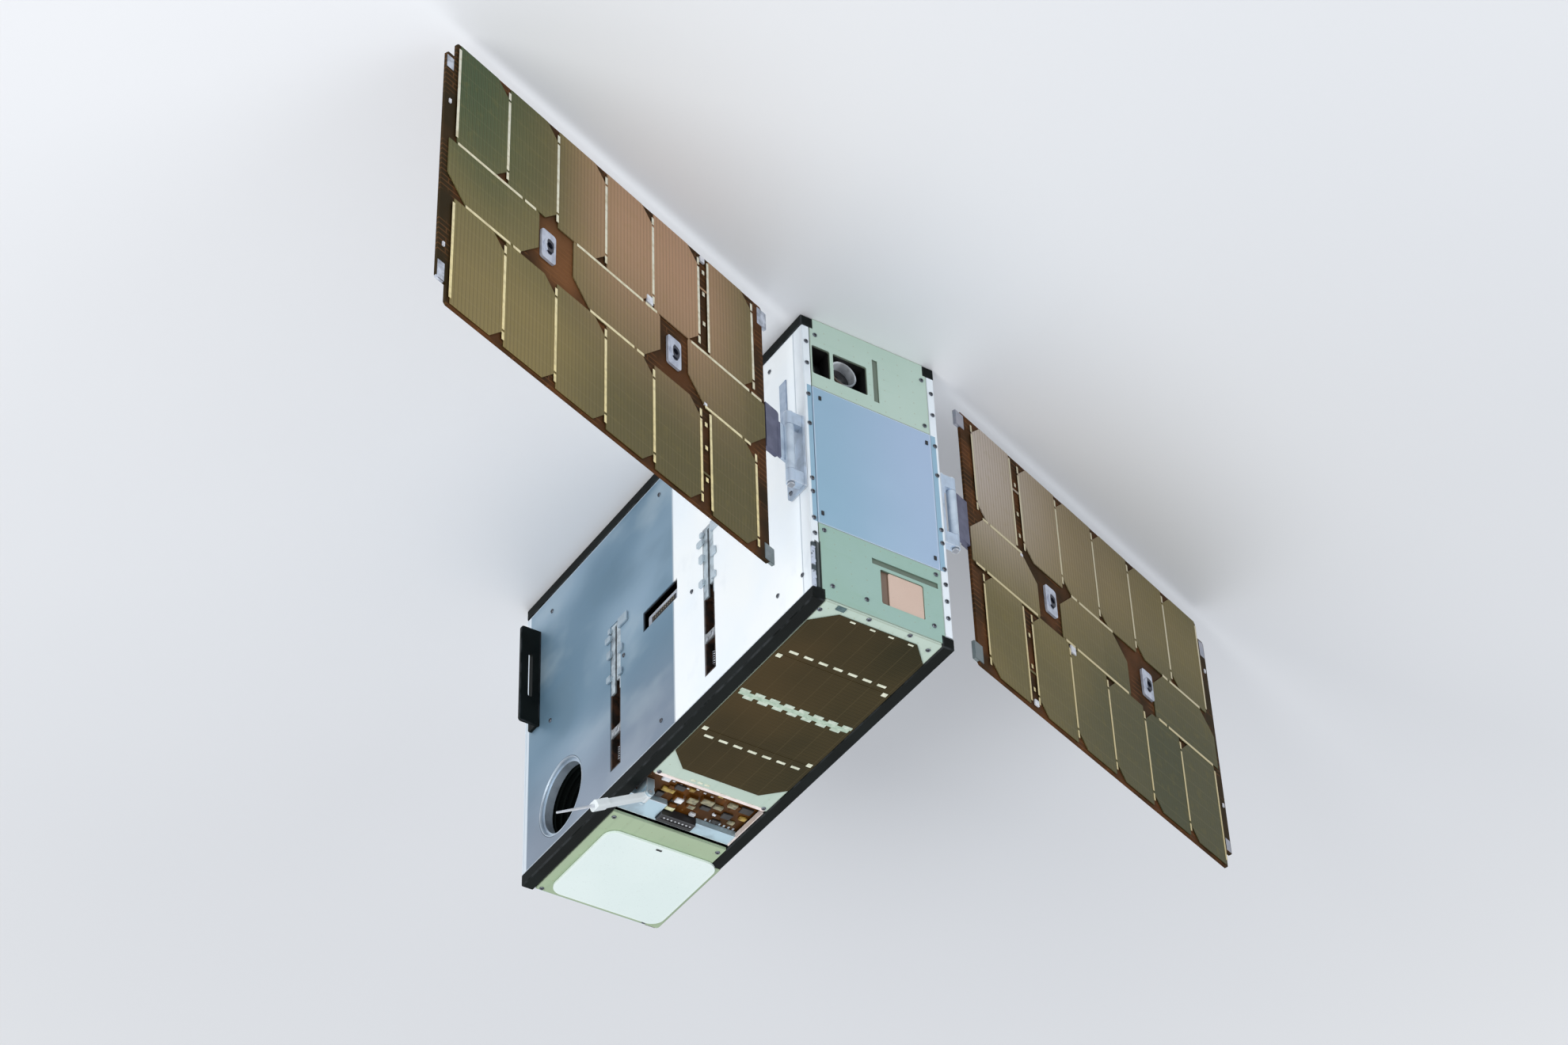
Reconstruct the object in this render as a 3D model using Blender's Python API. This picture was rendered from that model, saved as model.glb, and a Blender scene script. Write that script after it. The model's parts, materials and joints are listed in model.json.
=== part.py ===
"""Small satellite with two hinged solar wings and a folding whip antenna.

The frame is in metres, +Z up.  X runs along the rails toward the sensor end,
Y across the narrow side and Z across the broad side.  The origin is the middle
of the plain narrow face, on which the satellite stands.
"""

import math

import bmesh
import bpy
from mathutils import Vector

# Body, in metres
BODY_LENGTH = 0.3405
BODY_WIDTH = 0.100
BODY_HEIGHT = 0.2263
RAIL_SIZE = 0.0085
RAIL_EDGE = 0.0006
SEAT = 0.0003
SKIN = 0.0016
SKIN_INSET = 0.0005
BUS_SHARE = 0.45
END_PLATE = 0.0016
POST_DEPTH = 0.0098
POST_WIDTH = 0.0055
POST_EDGE = 0.0005

# Latch strip let into the left post
LATCH_DEPTH = 0.0014
LATCH_WIDTH = 0.0032
LATCH_LENGTH = 0.0335
LATCH_LOBE_RADIUS = 0.0014
LATCH_LOBE = 0.0005
LATCH_LOBES = (0.0020, 0.0130, 0.0250)

# Hold-down slots in the broad faces
BUS_SLOT_SHARE = 0.7325
PAYLOAD_SLOT_SHARE = 0.3776
SLOT_WIDTH = 0.0125
SLOT_LENGTH = 0.116
SLOT_TOP_MARGIN = 0.0203
RELEASE_DEPTH = 0.009
RELEASE_WALL = 0.0013
RELEASE_BAR_LENGTH = 0.056
RELEASE_SHORT_BAR = 0.048
RELEASE_GROOVE = 0.0022
RELEASE_GROOVE_DEPTH = 0.005
RELEASE_INSET = 0.0004
CROSSBAR_DROP = 0.029
CROSSBAR_HEIGHT = 0.006
LUG_THICKNESS = 0.0011
LUG_CORNER = 0.0006
STEM_WIDTH = 0.0019
STEM_INSET = 0.0009
LUGS = (
    # direction along X, start below the slot's low end, reach past the slot, height
    (-1, 0.0020, 0.0015, 0.0040),
    (-1, 0.0075, 0.0050, 0.0045),
    (-1, 0.0200, 0.0028, 0.0060),
    (-1, 0.0400, 0.0032, 0.0050),
    (1, 0.0010, 0.0095, 0.0075),
    (1, 0.0230, 0.0036, 0.0060),
    (1, 0.0420, 0.0030, 0.0050),
)

# Access port and round aperture in the left face
PORT_FAR_REACH = 0.0365
PORT_NEAR_REACH = 0.0045
PORT_LOW = 0.1065
PORT_HEIGHT = 0.0155
PORT_GAP = 0.0056
PORT_CONNECTOR_INSET = 0.0018
PORT_CONNECTOR_MARGIN = 0.004
APERTURE_SETBACK = 0.04825
APERTURE_DROP = 0.0413
APERTURE_RADIUS = 0.0275
APERTURE_WALL = 0.0012
APERTURE_RING_DEPTH = 0.008
APERTURE_LIP = 0.0018
APERTURE_LIP_SETBACK = 0.0024
LENS_BARREL_LENGTH = 0.062
LENS_BARREL_WALL = 0.002
LENS_DEPTH = 0.018
LENS_EDGE = 0.0016
LENS_CROWN = 0.0035
BAFFLE_PITCH = 0.0045
BAFFLE_HEIGHT = 0.0014
BAFFLE_COUNT = 3

# Sensor end plates
SENSOR_PLATE_TOP = 0.0575
UPPER_PLATE_HEIGHT = 0.0588
SUN_WINDOW_EDGE = 0.0074
SUN_WINDOW_WIDTH = 0.0132
WINDOW_DIVIDER = 0.0024
STAR_WINDOW_WIDTH = 0.0250
WINDOW_LOW = 0.0226
WINDOW_HEIGHT = 0.0236
WINDOW_CORNER = 0.0012
SENSOR_GROOVE_GAP = 0.0046
SENSOR_GROOVE_WIDTH = 0.0040
SENSOR_GROOVE_RISE = 0.009
SENSOR_GROOVE_HEIGHT = 0.0355
GROOVE_DEPTH = 0.0009
SENSOR_BLOCK_DEPTH = 0.024
SENSOR_POCKET_DEPTH = 0.014
SENSOR_BLOCK_WALL = 0.0016
SUN_SENSOR_SIZE = 0.0098
STAR_HOOD_RADIUS = 0.0096
STAR_HOOD_WALL = 0.0012
STAR_HOOD_LENGTH = 0.0118
STAR_LENS_DEPTH = 0.0055
STAR_LENS_CROWN = 0.0016
STAR_LENS_EDGE = 0.0003
STAR_CORNER_GAP = 0.0003
TILE_WINDOW_Y = (0.0199, 0.0509)
TILE_WINDOW_DROP = 0.0153
TILE_WINDOW_HEIGHT = 0.026
TILE_SIDE_GAP = 0.006
TILE_RISE = 0.0012
TILE_LAP = 0.003
TILE_THICKNESS = 0.003
TILE_GROOVE_Y = (0.0090, 0.0565)
TILE_GROOVE_DROP = 0.0435
TILE_GROOVE_HEIGHT = 0.0044

# Solar board on the top narrow face
TOP_BOARD = 0.0016
TOP_BOARD_INSET = 0.0004
TOP_BOARD_LENGTH = 0.19325
TOP_CELL_SETBACK = 0.0067
TOP_CELL_PITCH = 0.042
TOP_CELL_NEAR_EXTRA = 0.0055
TOP_CELL_GAP = 0.0012
TOP_CELL_MARGIN = 0.0002
TOP_CELL_COUNT = 4
TOP_CELL_CROP = 0.0135
CELL_THICKNESS = 0.0004

# Equipment bay and patch antenna
BAY_GAP = 0.0015
BAY_LENGTH = 0.0435
BAY_DEPTH = 0.0084
BAY_BOARD = 0.0016
LEDGE_LENGTH = 0.0100
LEDGE_WIDE = 0.0175
LEDGE_HEIGHT = 0.0042
LEDGE_SIDE_GAP = 0.0004
CONNECTOR_Y = (-0.0115, 0.0138)
CONNECTOR_HEIGHT = 0.0064
CONNECTOR_EDGE = 0.0004
CHIPS = (
    # distance from the bay's near edge, y, length, width, height
    (0.0190, 0.0102, 0.0050, 0.0052, 0.0028),
    (0.0275, 0.0095, 0.0044, 0.0050, 0.0026),
    (0.0160, 0.0017, 0.0046, 0.0060, 0.0024),
    (0.0125, -0.0073, 0.0042, 0.0080, 0.0024),
    (0.0225, -0.0010, 0.0040, 0.0050, 0.0020),
    (0.0245, -0.0215, 0.0042, 0.0055, 0.0012),
    (0.0135, 0.0176, 0.0052, 0.0060, 0.0012),
    (0.0120, -0.0290, 0.0060, 0.0090, 0.0012),
)
PATCH_FAR_MARGIN = 0.00325
PATCH_BOARD = 0.002
PATCH_PROUD = 0.0002
PATCH_LAP_START = 0.0205
PATCH_LAP_MARGIN = 0.0002
PATCH_CORNER = 0.002
PATCH_TILE_NEAR = 0.0160
PATCH_TILE_FAR = 0.0040
PATCH_TILE_LEFT = 0.0067
PATCH_TILE_RIGHT = 0.0032
PATCH_TILE_THICKNESS = 0.0016
PATCH_TILE_CORNER = 0.009

# Wing hinges
HINGE_SETBACK = 0.00385
HINGE_OUT = 0.0095
HINGE_SPAN = 0.056
KNUCKLE_RADIUS = 0.0031
KNUCKLE_LENGTH = 0.010
PIN_RADIUS = 0.0014
PIN_HEAD_RADIUS = 0.0023
PIN_HEAD = 0.0012
HINGE_BASE = 0.002
HINGE_BASE_LENGTH = 0.0185
HINGE_BASE_CORNER = 0.0025
LEAF_THICKNESS = 0.003
LEAF_WEB = 0.0016
LEAF_SHIFT = 0.007
LEAF_STEP = 0.0075
LEAF_TAB = 0.0014
LEAF_TAB_START = 0.0165
LEAF_TAB_LAP = 0.0100
LEAF_CORNER = 0.002

# Wings, measured outward from the hinge axis
WING_TILT = math.radians(19.5)
WING_START = 0.0205
WING_LENGTH = 0.279
WING_CLEAR = 0.01115
WING_BOARD = 0.0018
WING_OFFSET = 0.0034
WING_CORNER = 0.0015
TONGUE = 0.0078
TONGUE_LOW = 0.013
TONGUE_HIGH = 0.014
WING_CELL_THICKNESS = 0.0006
CELL_WIDTH = 0.0413
CELL_GAP = 0.0015
CELL_ROOT_MARGIN = 0.012
CELL_EDGE_MARGIN = 0.0012
CELL_SPLIT_GAP = 0.0105
CELL_COLUMNS = 6
UPRIGHT_CELL_SHARE = 0.385
UPRIGHT_CROP = 0.0095
LYING_CROP = 0.0150
LYING_ROOT_MARGIN = 0.0012
LYING_OVERHANG = 0.0035
LYING_INNER_GAP = 0.0137
LYING_NEXT_GAP = 0.0120
LYING_WIDE_GAP = 0.0223
LYING_OUTER_GAP = 0.0074
LINK_LAP = 0.0005
LINK_RISE = 0.0112
LINK_HEIGHT = 0.0016
CLAMP_LENGTH = 0.022
CLAMP_WIDTH = 0.012
CLAMP_THICKNESS = 0.0016
CLAMP_CORNER = 0.002
CLAMP_COLLAR_RADIUS = 0.0046
CLAMP_COLLAR = 0.0009
CLAMP_BOSS_RADIUS = 0.004
CLAMP_BOSS = 0.0018
CLAMP_HOLE_RADIUS = 0.0022

# Wing tip guards on the broad faces
GUARD_SETBACK = 0.01925
GUARD_THICKNESS = 0.002
GUARD_REACH = 0.0148
GUARD_LOW = 0.031
GUARD_LENGTH = 0.079
GUARD_CORNER = 0.002
GUARD_FOOT = 0.012
GUARD_FOOT_THICKNESS = 0.0018
GUARD_FOOT_MARGIN = 0.001
GUARD_SLOT_WIDTH = 0.0032
GUARD_SLOT_LENGTH = 0.036

# Whip antenna, measured outward from its hinge axis
ANTENNA_FROM_BAY = 0.0175
ANTENNA_EDGE = 0.0070
ANTENNA_LIFT = 0.0035
ANTENNA_RISE = math.radians(29.4)
ARM_LENGTH = 0.0325
ARM_WIDTH = 0.007
ARM_THICKNESS = 0.0042
ARM_EDGE = 0.0008
ANTENNA_BLOCK = 0.0098
ANTENNA_BLOCK_WIDTH = 0.0084
ANTENNA_BLOCK_THICKNESS = 0.0054
WHIP_LENGTH = 0.0293
WHIP_RADIUS = 0.0010
WHIP_TIP_RADIUS = 0.0007
ANTENNA_PIN_RADIUS = 0.0011
ANTENNA_KNUCKLE_RADIUS = 0.0028
EAR_THICKNESS = 0.002

# Inner blocks, as clearances to what is around them
STACK_SIDE_GAP = 0.0079
STACK_TOP_GAP = 0.0263
AVIONICS_SLOT_GAP = 0.014
AVIONICS_NEAR_GAP = 0.03025
PAYLOAD_SLOT_GAP = 0.0077
PAYLOAD_SIDE_GAP = 0.018
PAYLOAD_TOP_GAP = 0.0213

# Derived places
END_X = BODY_LENGTH / 2
SIDE_Y = BODY_WIDTH / 2
SPLIT_X = END_X - BUS_SHARE * BODY_LENGTH
RAIL_INNER_Y = SIDE_Y - RAIL_SIZE
BOARD_Y = RAIL_INNER_Y - SEAT
MIDDLE_Z = BODY_HEIGHT / 2
SKIN_OUT = SIDE_Y - SKIN_INSET
SKIN_IN = SKIN_OUT - SKIN
SKIN_LOW = RAIL_SIZE + SEAT
SKIN_HIGH = BODY_HEIGHT - RAIL_SIZE - SEAT
POST_X = END_X - POST_DEPTH
PLATE_BACK = END_X - END_PLATE
PLATE_Y = SKIN_OUT - POST_WIDTH - SEAT
SLOT_HIGH = BODY_HEIGHT - SLOT_TOP_MARGIN
SLOT_LOW = SLOT_HIGH - SLOT_LENGTH
SLOT_XS = {
    "bus": END_X - BUS_SLOT_SHARE * (END_X - SPLIT_X),
    "payload": SPLIT_X - PAYLOAD_SLOT_SHARE * (SPLIT_X + END_X),
}
PORT_X = (SPLIT_X - PORT_FAR_REACH, SPLIT_X + PORT_NEAR_REACH)
PORT_Z = (PORT_LOW, PORT_LOW + PORT_HEIGHT)
APERTURE_X = -END_X + APERTURE_SETBACK
APERTURE_Z = BODY_HEIGHT - APERTURE_DROP
SUN_WINDOW_Y = (SIDE_Y - SUN_WINDOW_EDGE - SUN_WINDOW_WIDTH, SIDE_Y - SUN_WINDOW_EDGE)
STAR_WINDOW_Y = (
    SUN_WINDOW_Y[0] - WINDOW_DIVIDER - STAR_WINDOW_WIDTH, SUN_WINDOW_Y[0] - WINDOW_DIVIDER,
)
WINDOW_Z = (WINDOW_LOW, WINDOW_LOW + WINDOW_HEIGHT)
TOP_BOARD_FAR = END_X - TOP_BOARD_LENGTH
BAY_NEAR = TOP_BOARD_FAR - BAY_GAP
BAY_FAR = BAY_NEAR - BAY_LENGTH
BAY_FLOOR = BODY_HEIGHT - BAY_DEPTH + BAY_BOARD
PATCH_NEAR = BAY_FAR - BAY_GAP
PATCH_FAR = -END_X + PATCH_FAR_MARGIN
PATCH_HIGH = BODY_HEIGHT + PATCH_PROUD
PATCH_LOW = PATCH_HIGH - PATCH_BOARD
TOP_BOARD_HIGH = BODY_HEIGHT - TOP_BOARD_INSET
TOP_BOARD_LOW = TOP_BOARD_HIGH - TOP_BOARD
HINGE_X = END_X - HINGE_SETBACK
HINGE_Y = SIDE_Y + HINGE_OUT
WING_HEIGHT = BODY_HEIGHT - 2 * WING_CLEAR
WING_FRONT = WING_OFFSET - WING_BOARD / 2
WING_BACK = WING_OFFSET + WING_BOARD / 2
UPRIGHT_CELL = UPRIGHT_CELL_SHARE * WING_HEIGHT
GUARD_X = -END_X + GUARD_SETBACK
ANTENNA_X = BAY_NEAR - ANTENNA_FROM_BAY
ANTENNA_Y = RAIL_INNER_Y - ANTENNA_EDGE
ANTENNA_Z = BODY_HEIGHT + ANTENNA_LIFT
SIDES = {"left": 1, "right": -1}

MODEL_NAME = "satellite"
CUTTER_NAME = "cutters"
SMOOTH_ANGLE = math.radians(35)


def clear_scene():
    for item in list(bpy.data.objects):
        bpy.data.objects.remove(item, do_unlink=True)


def make_collection(name):
    collection = bpy.data.collections.get(name) or bpy.data.collections.new(name)
    if name not in bpy.context.scene.collection.children:
        bpy.context.scene.collection.children.link(collection)
    return collection


def finish(name, color, roughness, metallic=0.0):
    """A plain material for one kind of surface."""
    material = bpy.data.materials.get(name) or bpy.data.materials.new(name)
    material.use_nodes = True
    shader = material.node_tree.nodes["Principled BSDF"]
    shader.inputs["Base Color"].default_value = (*color, 1.0)
    shader.inputs["Roughness"].default_value = roughness
    shader.inputs["Metallic"].default_value = metallic
    return material


FINISHES = {
    "black_anodised": ((0.02, 0.02, 0.022), 0.45, 0.6),
    "white_paint": ((0.86, 0.90, 0.94), 0.45, 0.0),
    "satin_aluminium": ((0.42, 0.50, 0.56), 0.35, 0.8),
    "pale_green_board": ((0.56, 0.68, 0.60), 0.5, 0.0),
    "blue_plate": ((0.50, 0.60, 0.76), 0.4, 0.2),
    "peach_tile": ((0.80, 0.62, 0.54), 0.5, 0.0),
    "grey_metal": ((0.45, 0.48, 0.52), 0.4, 0.8),
    "dark_glass": ((0.02, 0.02, 0.02), 0.1, 0.0),
    "brown_board": ((0.20, 0.08, 0.03), 0.5, 0.0),
    "olive_cell": ((0.22, 0.18, 0.08), 0.25, 0.3),
    "dark_cell": ((0.08, 0.06, 0.03), 0.25, 0.3),
    "white_tile": ((0.85, 0.93, 0.93), 0.4, 0.0),
    "black_plastic": ((0.03, 0.03, 0.035), 0.5, 0.0),
    "steel_pin": ((0.55, 0.56, 0.58), 0.3, 1.0),
}


def add_object(name, bm, finish_name=None, parent=None, location=(0, 0, 0), is_round=False):
    """Turn a bmesh into a model piece, or into a cutter where it has no finish."""
    mesh = bpy.data.meshes.new(name)
    bm.to_mesh(mesh)
    bm.free()
    if is_round:
        mesh.shade_smooth()
        mesh.set_sharp_from_angle(angle=SMOOTH_ANGLE)
    item = bpy.data.objects.new(name, mesh)
    item.location = location
    item.parent = parent
    if finish_name is None:
        item.hide_render = True
        item.display_type = "WIRE"
        make_collection(CUTTER_NAME).objects.link(item)
    else:
        mesh.materials.append(finish(finish_name, *FINISHES[finish_name]))
        make_collection(MODEL_NAME).objects.link(item)
    return item


def block(name, x, y, z, finish_name=None, parent=None, edge=0.0):
    """A box between two places on each axis, its origin at its middle."""
    spans = [sorted(pair) for pair in (x, y, z)]
    size = Vector([high - low for low, high in spans])
    centre = Vector([(high + low) / 2 for low, high in spans])
    bm = bmesh.new()
    bmesh.ops.create_cube(bm, size=1.0)
    bmesh.ops.scale(bm, vec=size, verts=bm.verts)
    if edge:
        bmesh.ops.bevel(bm, geom=bm.edges[:], offset=edge, segments=1, affect="EDGES")
    return add_object(name, bm, finish_name, parent, centre)


def crop_corners(item, axis, crop, steps=1, keep=lambda middle: True):
    """Crop or round the edges of a box that run along one axis."""
    bm = bmesh.new()
    bm.from_mesh(item.data)
    picked = []
    for corner in bm.edges:
        run = corner.verts[0].co - corner.verts[1].co
        middle = (corner.verts[0].co + corner.verts[1].co) / 2
        if abs(run[axis]) > 0.99 * run.length and keep(middle):
            picked.append(corner)
    bmesh.ops.bevel(bm, geom=picked, offset=crop, segments=steps, profile=0.5, affect="EDGES")
    bm.to_mesh(item.data)
    bm.free()
    return item


def rod(name, start, end, radius, finish_name=None, parent=None, sides=24, end_radius=None):
    """A round bar or cone between two points."""
    start, end = Vector(start), Vector(end)
    bm = bmesh.new()
    bmesh.ops.create_cone(
        bm, cap_ends=True, segments=sides, radius1=radius,
        radius2=radius if end_radius is None else end_radius, depth=(end - start).length,
    )
    turn = (end - start).to_track_quat("Z", "Y").to_matrix()
    bmesh.ops.rotate(bm, cent=(0, 0, 0), matrix=turn, verts=bm.verts)
    return add_object(name, bm, finish_name, parent, (start + end) / 2, is_round=True)


def turned(name, profile, finish_name, location, rotation, steps=48, closed=True):
    """A lathe-turned piece from (radius, height) points, about its own Z axis."""
    bm = bmesh.new()
    verts = [bm.verts.new((radius, 0, height)) for radius, height in profile]
    ends = verts[1:] + verts[:1] if closed else verts[1:]
    edges = [bm.edges.new(pair) for pair in zip(verts, ends)]
    bmesh.ops.spin(
        bm, geom=verts + edges, cent=(0, 0, 0), axis=(0, 0, 1), angle=math.tau, steps=steps,
        use_merge=True,
    )
    bmesh.ops.remove_doubles(bm, verts=bm.verts[:], dist=0.00001)
    bmesh.ops.recalc_face_normals(bm, faces=bm.faces[:])
    item = add_object(name, bm, finish_name, None, location, is_round=True)
    item.rotation_euler = rotation
    return item


def combine(item, others, operation):
    """Add or cut other shapes with an exact Boolean each."""
    for number, other in enumerate(others):
        modifier = item.modifiers.new("%s %d" % (operation.lower(), number), "BOOLEAN")
        modifier.operation = operation
        modifier.solver = "EXACT"
        modifier.object = other
    return item


def cut(item, *others):
    return combine(item, others, "DIFFERENCE")


def join(item, *others):
    return combine(item, others, "UNION")


def axis_empty(name, location, rotation):
    empty = bpy.data.objects.new(name, None)
    empty.location = location
    empty.rotation_euler = rotation
    make_collection(MODEL_NAME).objects.link(empty)
    return empty


def build_rails():
    """Four square rails, the upper right one relieved for the patch board."""
    for side_name, side in SIDES.items():
        for level, low in (("base", 0.0), ("top", BODY_HEIGHT - RAIL_SIZE)):
            rail = block(
                "rail_%s_%s" % (level, side_name), (-END_X, END_X),
                (side * RAIL_INNER_Y, side * SIDE_Y), (low, low + RAIL_SIZE),
                "black_anodised", edge=RAIL_EDGE,
            )
            if level == "top" and side < 0:
                relief = block(
                    "relief", (-BODY_LENGTH, PATCH_NEAR - PATCH_LAP_START + SEAT),
                    (-BODY_WIDTH, 0), (PATCH_LOW - SEAT, BODY_HEIGHT + RAIL_SIZE),
                )
                cut(rail, relief)


def build_skins():
    """Broad faces, each a bus panel and a payload panel between the rails."""
    x_spans = {
        "bus": (SPLIT_X + SEAT / 2, POST_X - SEAT),
        "payload": (-END_X + END_PLATE + SEAT, SPLIT_X - SEAT / 2),
    }
    panel_finish = {"bus": "white_paint", "payload": "satin_aluminium"}
    half = SLOT_WIDTH / 2
    for side_name, side in SIDES.items():
        through = (side * (SKIN_IN - SKIN), side * (SIDE_Y + SKIN))
        port = block("port cut", PORT_X, through, PORT_Z)
        for zone, x_span in x_spans.items():
            panel = block(
                "skin_%s_%s" % (side_name, zone), x_span, (side * SKIN_IN, side * SKIN_OUT),
                (SKIN_LOW, SKIN_HIGH), panel_finish[zone],
            )
            x = SLOT_XS[zone]
            cut(panel, block("slot cut", (x - half, x + half), through, (SLOT_LOW, SLOT_HIGH)))
            if side > 0:
                cut(panel, port)
            if side > 0 and zone == "payload":
                cut(panel, rod(
                    "aperture cut", (APERTURE_X, through[0], APERTURE_Z),
                    (APERTURE_X, through[1], APERTURE_Z), APERTURE_RADIUS, sides=64,
                ))


def build_base_and_far_end():
    """The plain narrow face, and the plain end."""
    block(
        "skin_base", (-PLATE_BACK + SEAT, PLATE_BACK - SEAT), (-BOARD_Y, BOARD_Y), (0, SKIN),
        "white_paint",
    )
    far = block(
        "far_plate", (-END_X, -PLATE_BACK), (-SKIN_OUT, SKIN_OUT), (SKIN_LOW, SKIN_HIGH),
        "satin_aluminium",
    )
    join(far, block("far middle", (-END_X, -PLATE_BACK), (-BOARD_Y, BOARD_Y), (0, PATCH_LOW - SEAT)))


def build_posts():
    """The two near posts, and the lobed latch strip let into the left one."""
    latch_low = SKIN_HIGH - LATCH_LENGTH
    latch_in = SKIN_OUT - LATCH_WIDTH
    for side_name, side in SIDES.items():
        post = block(
            "near_post_%s" % side_name, (POST_X, END_X),
            (side * (SKIN_OUT - POST_WIDTH), side * SKIN_OUT), (SKIN_LOW, SKIN_HIGH),
            "satin_aluminium",
        )
        crop_corners(post, 2, POST_EDGE, keep=lambda middle: middle.x > 0)
        if side > 0:
            cut(post, block(
                "latch pocket", (END_X - LATCH_DEPTH, END_X + LATCH_DEPTH),
                (latch_in - SEAT, BODY_WIDTH), (latch_low - SEAT, BODY_HEIGHT),
            ))
    floor = END_X - LATCH_DEPTH + SEAT
    latch = block(
        "corner_latch", (floor, END_X - LATCH_LOBE), (latch_in, SKIN_OUT), (latch_low, SKIN_HIGH),
        "black_anodised",
    )
    crop_corners(latch, 0, POST_EDGE)
    for start in LATCH_LOBES:
        z = latch_low + start + LATCH_LOBE_RADIUS
        y = SKIN_OUT - LATCH_WIDTH / 2
        join(latch, rod("lobe", (floor + SEAT, y, z), (END_X, y, z), LATCH_LOBE_RADIUS, sides=16))


def build_near_plates():
    """Three plates between the posts, with windows, grooves and the recessed tile."""
    through = (PLATE_BACK - END_PLATE, END_X + END_PLATE)
    groove_x = (END_X - GROOVE_DEPTH, END_X + END_PLATE)
    sensor = block(
        "near_plate_sensor", (PLATE_BACK, END_X), (-PLATE_Y, PLATE_Y),
        (SKIN_LOW, SENSOR_PLATE_TOP), "pale_green_board",
    )
    foot = block("sensor foot", (PLATE_BACK, END_X), (-BOARD_Y, BOARD_Y), (0, SENSOR_PLATE_TOP / 2))
    join(sensor, foot)
    groove_y = STAR_WINDOW_Y[0] - SENSOR_GROOVE_GAP
    groove_z = RAIL_SIZE / 2 + SENSOR_GROOVE_RISE
    cut(
        sensor,
        crop_corners(block("sun window", through, SUN_WINDOW_Y, WINDOW_Z), 0, WINDOW_CORNER, 3),
        crop_corners(block("star window", through, STAR_WINDOW_Y, WINDOW_Z), 0, WINDOW_CORNER, 3),
        block(
            "sensor groove", groove_x, (groove_y - SENSOR_GROOVE_WIDTH, groove_y),
            (groove_z, groove_z + SENSOR_GROOVE_HEIGHT),
        ),
    )

    centre_top = BODY_HEIGHT - UPPER_PLATE_HEIGHT
    block(
        "near_plate_centre", (PLATE_BACK, END_X), (-PLATE_Y, PLATE_Y),
        (SENSOR_PLATE_TOP + SEAT, centre_top - SEAT), "blue_plate",
    )

    upper = block(
        "near_plate_upper", (PLATE_BACK, END_X), (-PLATE_Y, PLATE_Y), (centre_top, SKIN_HIGH),
        "pale_green_board",
    )
    tile_high = BODY_HEIGHT - TILE_WINDOW_DROP
    tile_low = tile_high - TILE_WINDOW_HEIGHT
    tile_y = (-SIDE_Y + TILE_WINDOW_Y[0], -SIDE_Y + TILE_WINDOW_Y[1])
    groove_low = BODY_HEIGHT - TILE_GROOVE_DROP - TILE_GROOVE_HEIGHT
    join(upper, block(
        "upper head", (PLATE_BACK, END_X), (-BOARD_Y, BOARD_Y), (centre_top + END_PLATE, TOP_BOARD_LOW - SEAT),
    ))
    cut(
        upper,
        crop_corners(block("tile window", through, tile_y, (tile_low, tile_high)), 0, WINDOW_CORNER, 3),
        block(
            "tile groove", groove_x, (-SIDE_Y + TILE_GROOVE_Y[0], -SIDE_Y + TILE_GROOVE_Y[1]),
            (groove_low, groove_low + TILE_GROOVE_HEIGHT),
        ),
    )
    back = PLATE_BACK - SEAT
    tile = block(
        "near_tile", (back - TILE_THICKNESS, back), (tile_y[0] - TILE_LAP, tile_y[1] + TILE_LAP),
        (tile_low - TILE_LAP, tile_high + TILE_LAP), "peach_tile",
    )
    face = block(
        "tile face", (back - TILE_THICKNESS / 2, back + TILE_RISE),
        (tile_y[0] + SEAT, tile_y[1] - TILE_SIDE_GAP), (tile_low + SEAT, tile_high - SEAT),
    )
    crop_corners(face, 0, WINDOW_CORNER, 3)
    join(tile, face)


def build_sensors():
    """Sensor housing behind the two windows, with a sun sensor and a star tracker."""
    front = PLATE_BACK - SEAT
    wall = SENSOR_BLOCK_WALL
    housing = block(
        "sensor_housing", (front - SENSOR_BLOCK_DEPTH, front),
        (STAR_WINDOW_Y[0] - wall, PLATE_Y),
        (WINDOW_Z[0] - wall, WINDOW_Z[1] + wall), "black_plastic",
    )
    floor = front - SENSOR_POCKET_DEPTH
    cut(
        housing,
        block("sun pocket", (floor, END_X), SUN_WINDOW_Y, WINDOW_Z),
        block("star pocket", (floor, END_X), STAR_WINDOW_Y, WINDOW_Z),
    )
    sun_y = sum(SUN_WINDOW_Y) / 2
    sun_z = sum(WINDOW_Z) / 2
    half = SUN_SENSOR_SIZE / 2
    sun = block(
        "sun_sensor", (floor + SEAT, floor + SENSOR_POCKET_DEPTH / 2),
        (sun_y - half, sun_y + half), (sun_z - half, sun_z + half), "dark_glass",
    )
    crop_corners(sun, 0, half / 3)

    radius = STAR_HOOD_RADIUS
    bore = radius - STAR_HOOD_WALL
    seat = STAR_HOOD_LENGTH - STAR_LENS_DEPTH - STAR_LENS_CROWN
    star_y = STAR_WINDOW_Y[1] - STAR_CORNER_GAP - radius
    star_z = WINDOW_Z[0] + STAR_CORNER_GAP + radius
    facing = (0, math.pi / 2, 0)
    hood = (
        (0, seat), (bore, seat), (bore, STAR_HOOD_LENGTH), (radius, STAR_HOOD_LENGTH), (radius, 0),
        (0, 0),
    )
    hood_x = front - SENSOR_POCKET_DEPTH + SEAT
    turned("star_tracker_hood", hood, "grey_metal", (hood_x, star_y, star_z), facing, closed=False)
    edge = bore - SEAT
    lens = (
        (0, STAR_LENS_CROWN), (edge * 0.4, STAR_LENS_CROWN * 0.85), (edge * 0.75, STAR_LENS_CROWN * 0.52),
        (edge, STAR_LENS_EDGE), (edge, 0), (0, 0),
    )
    turned(
        "star_tracker_lens", lens, "dark_glass", (hood_x + seat + SEAT, star_y, star_z), facing,
        closed=False,
    )


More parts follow.
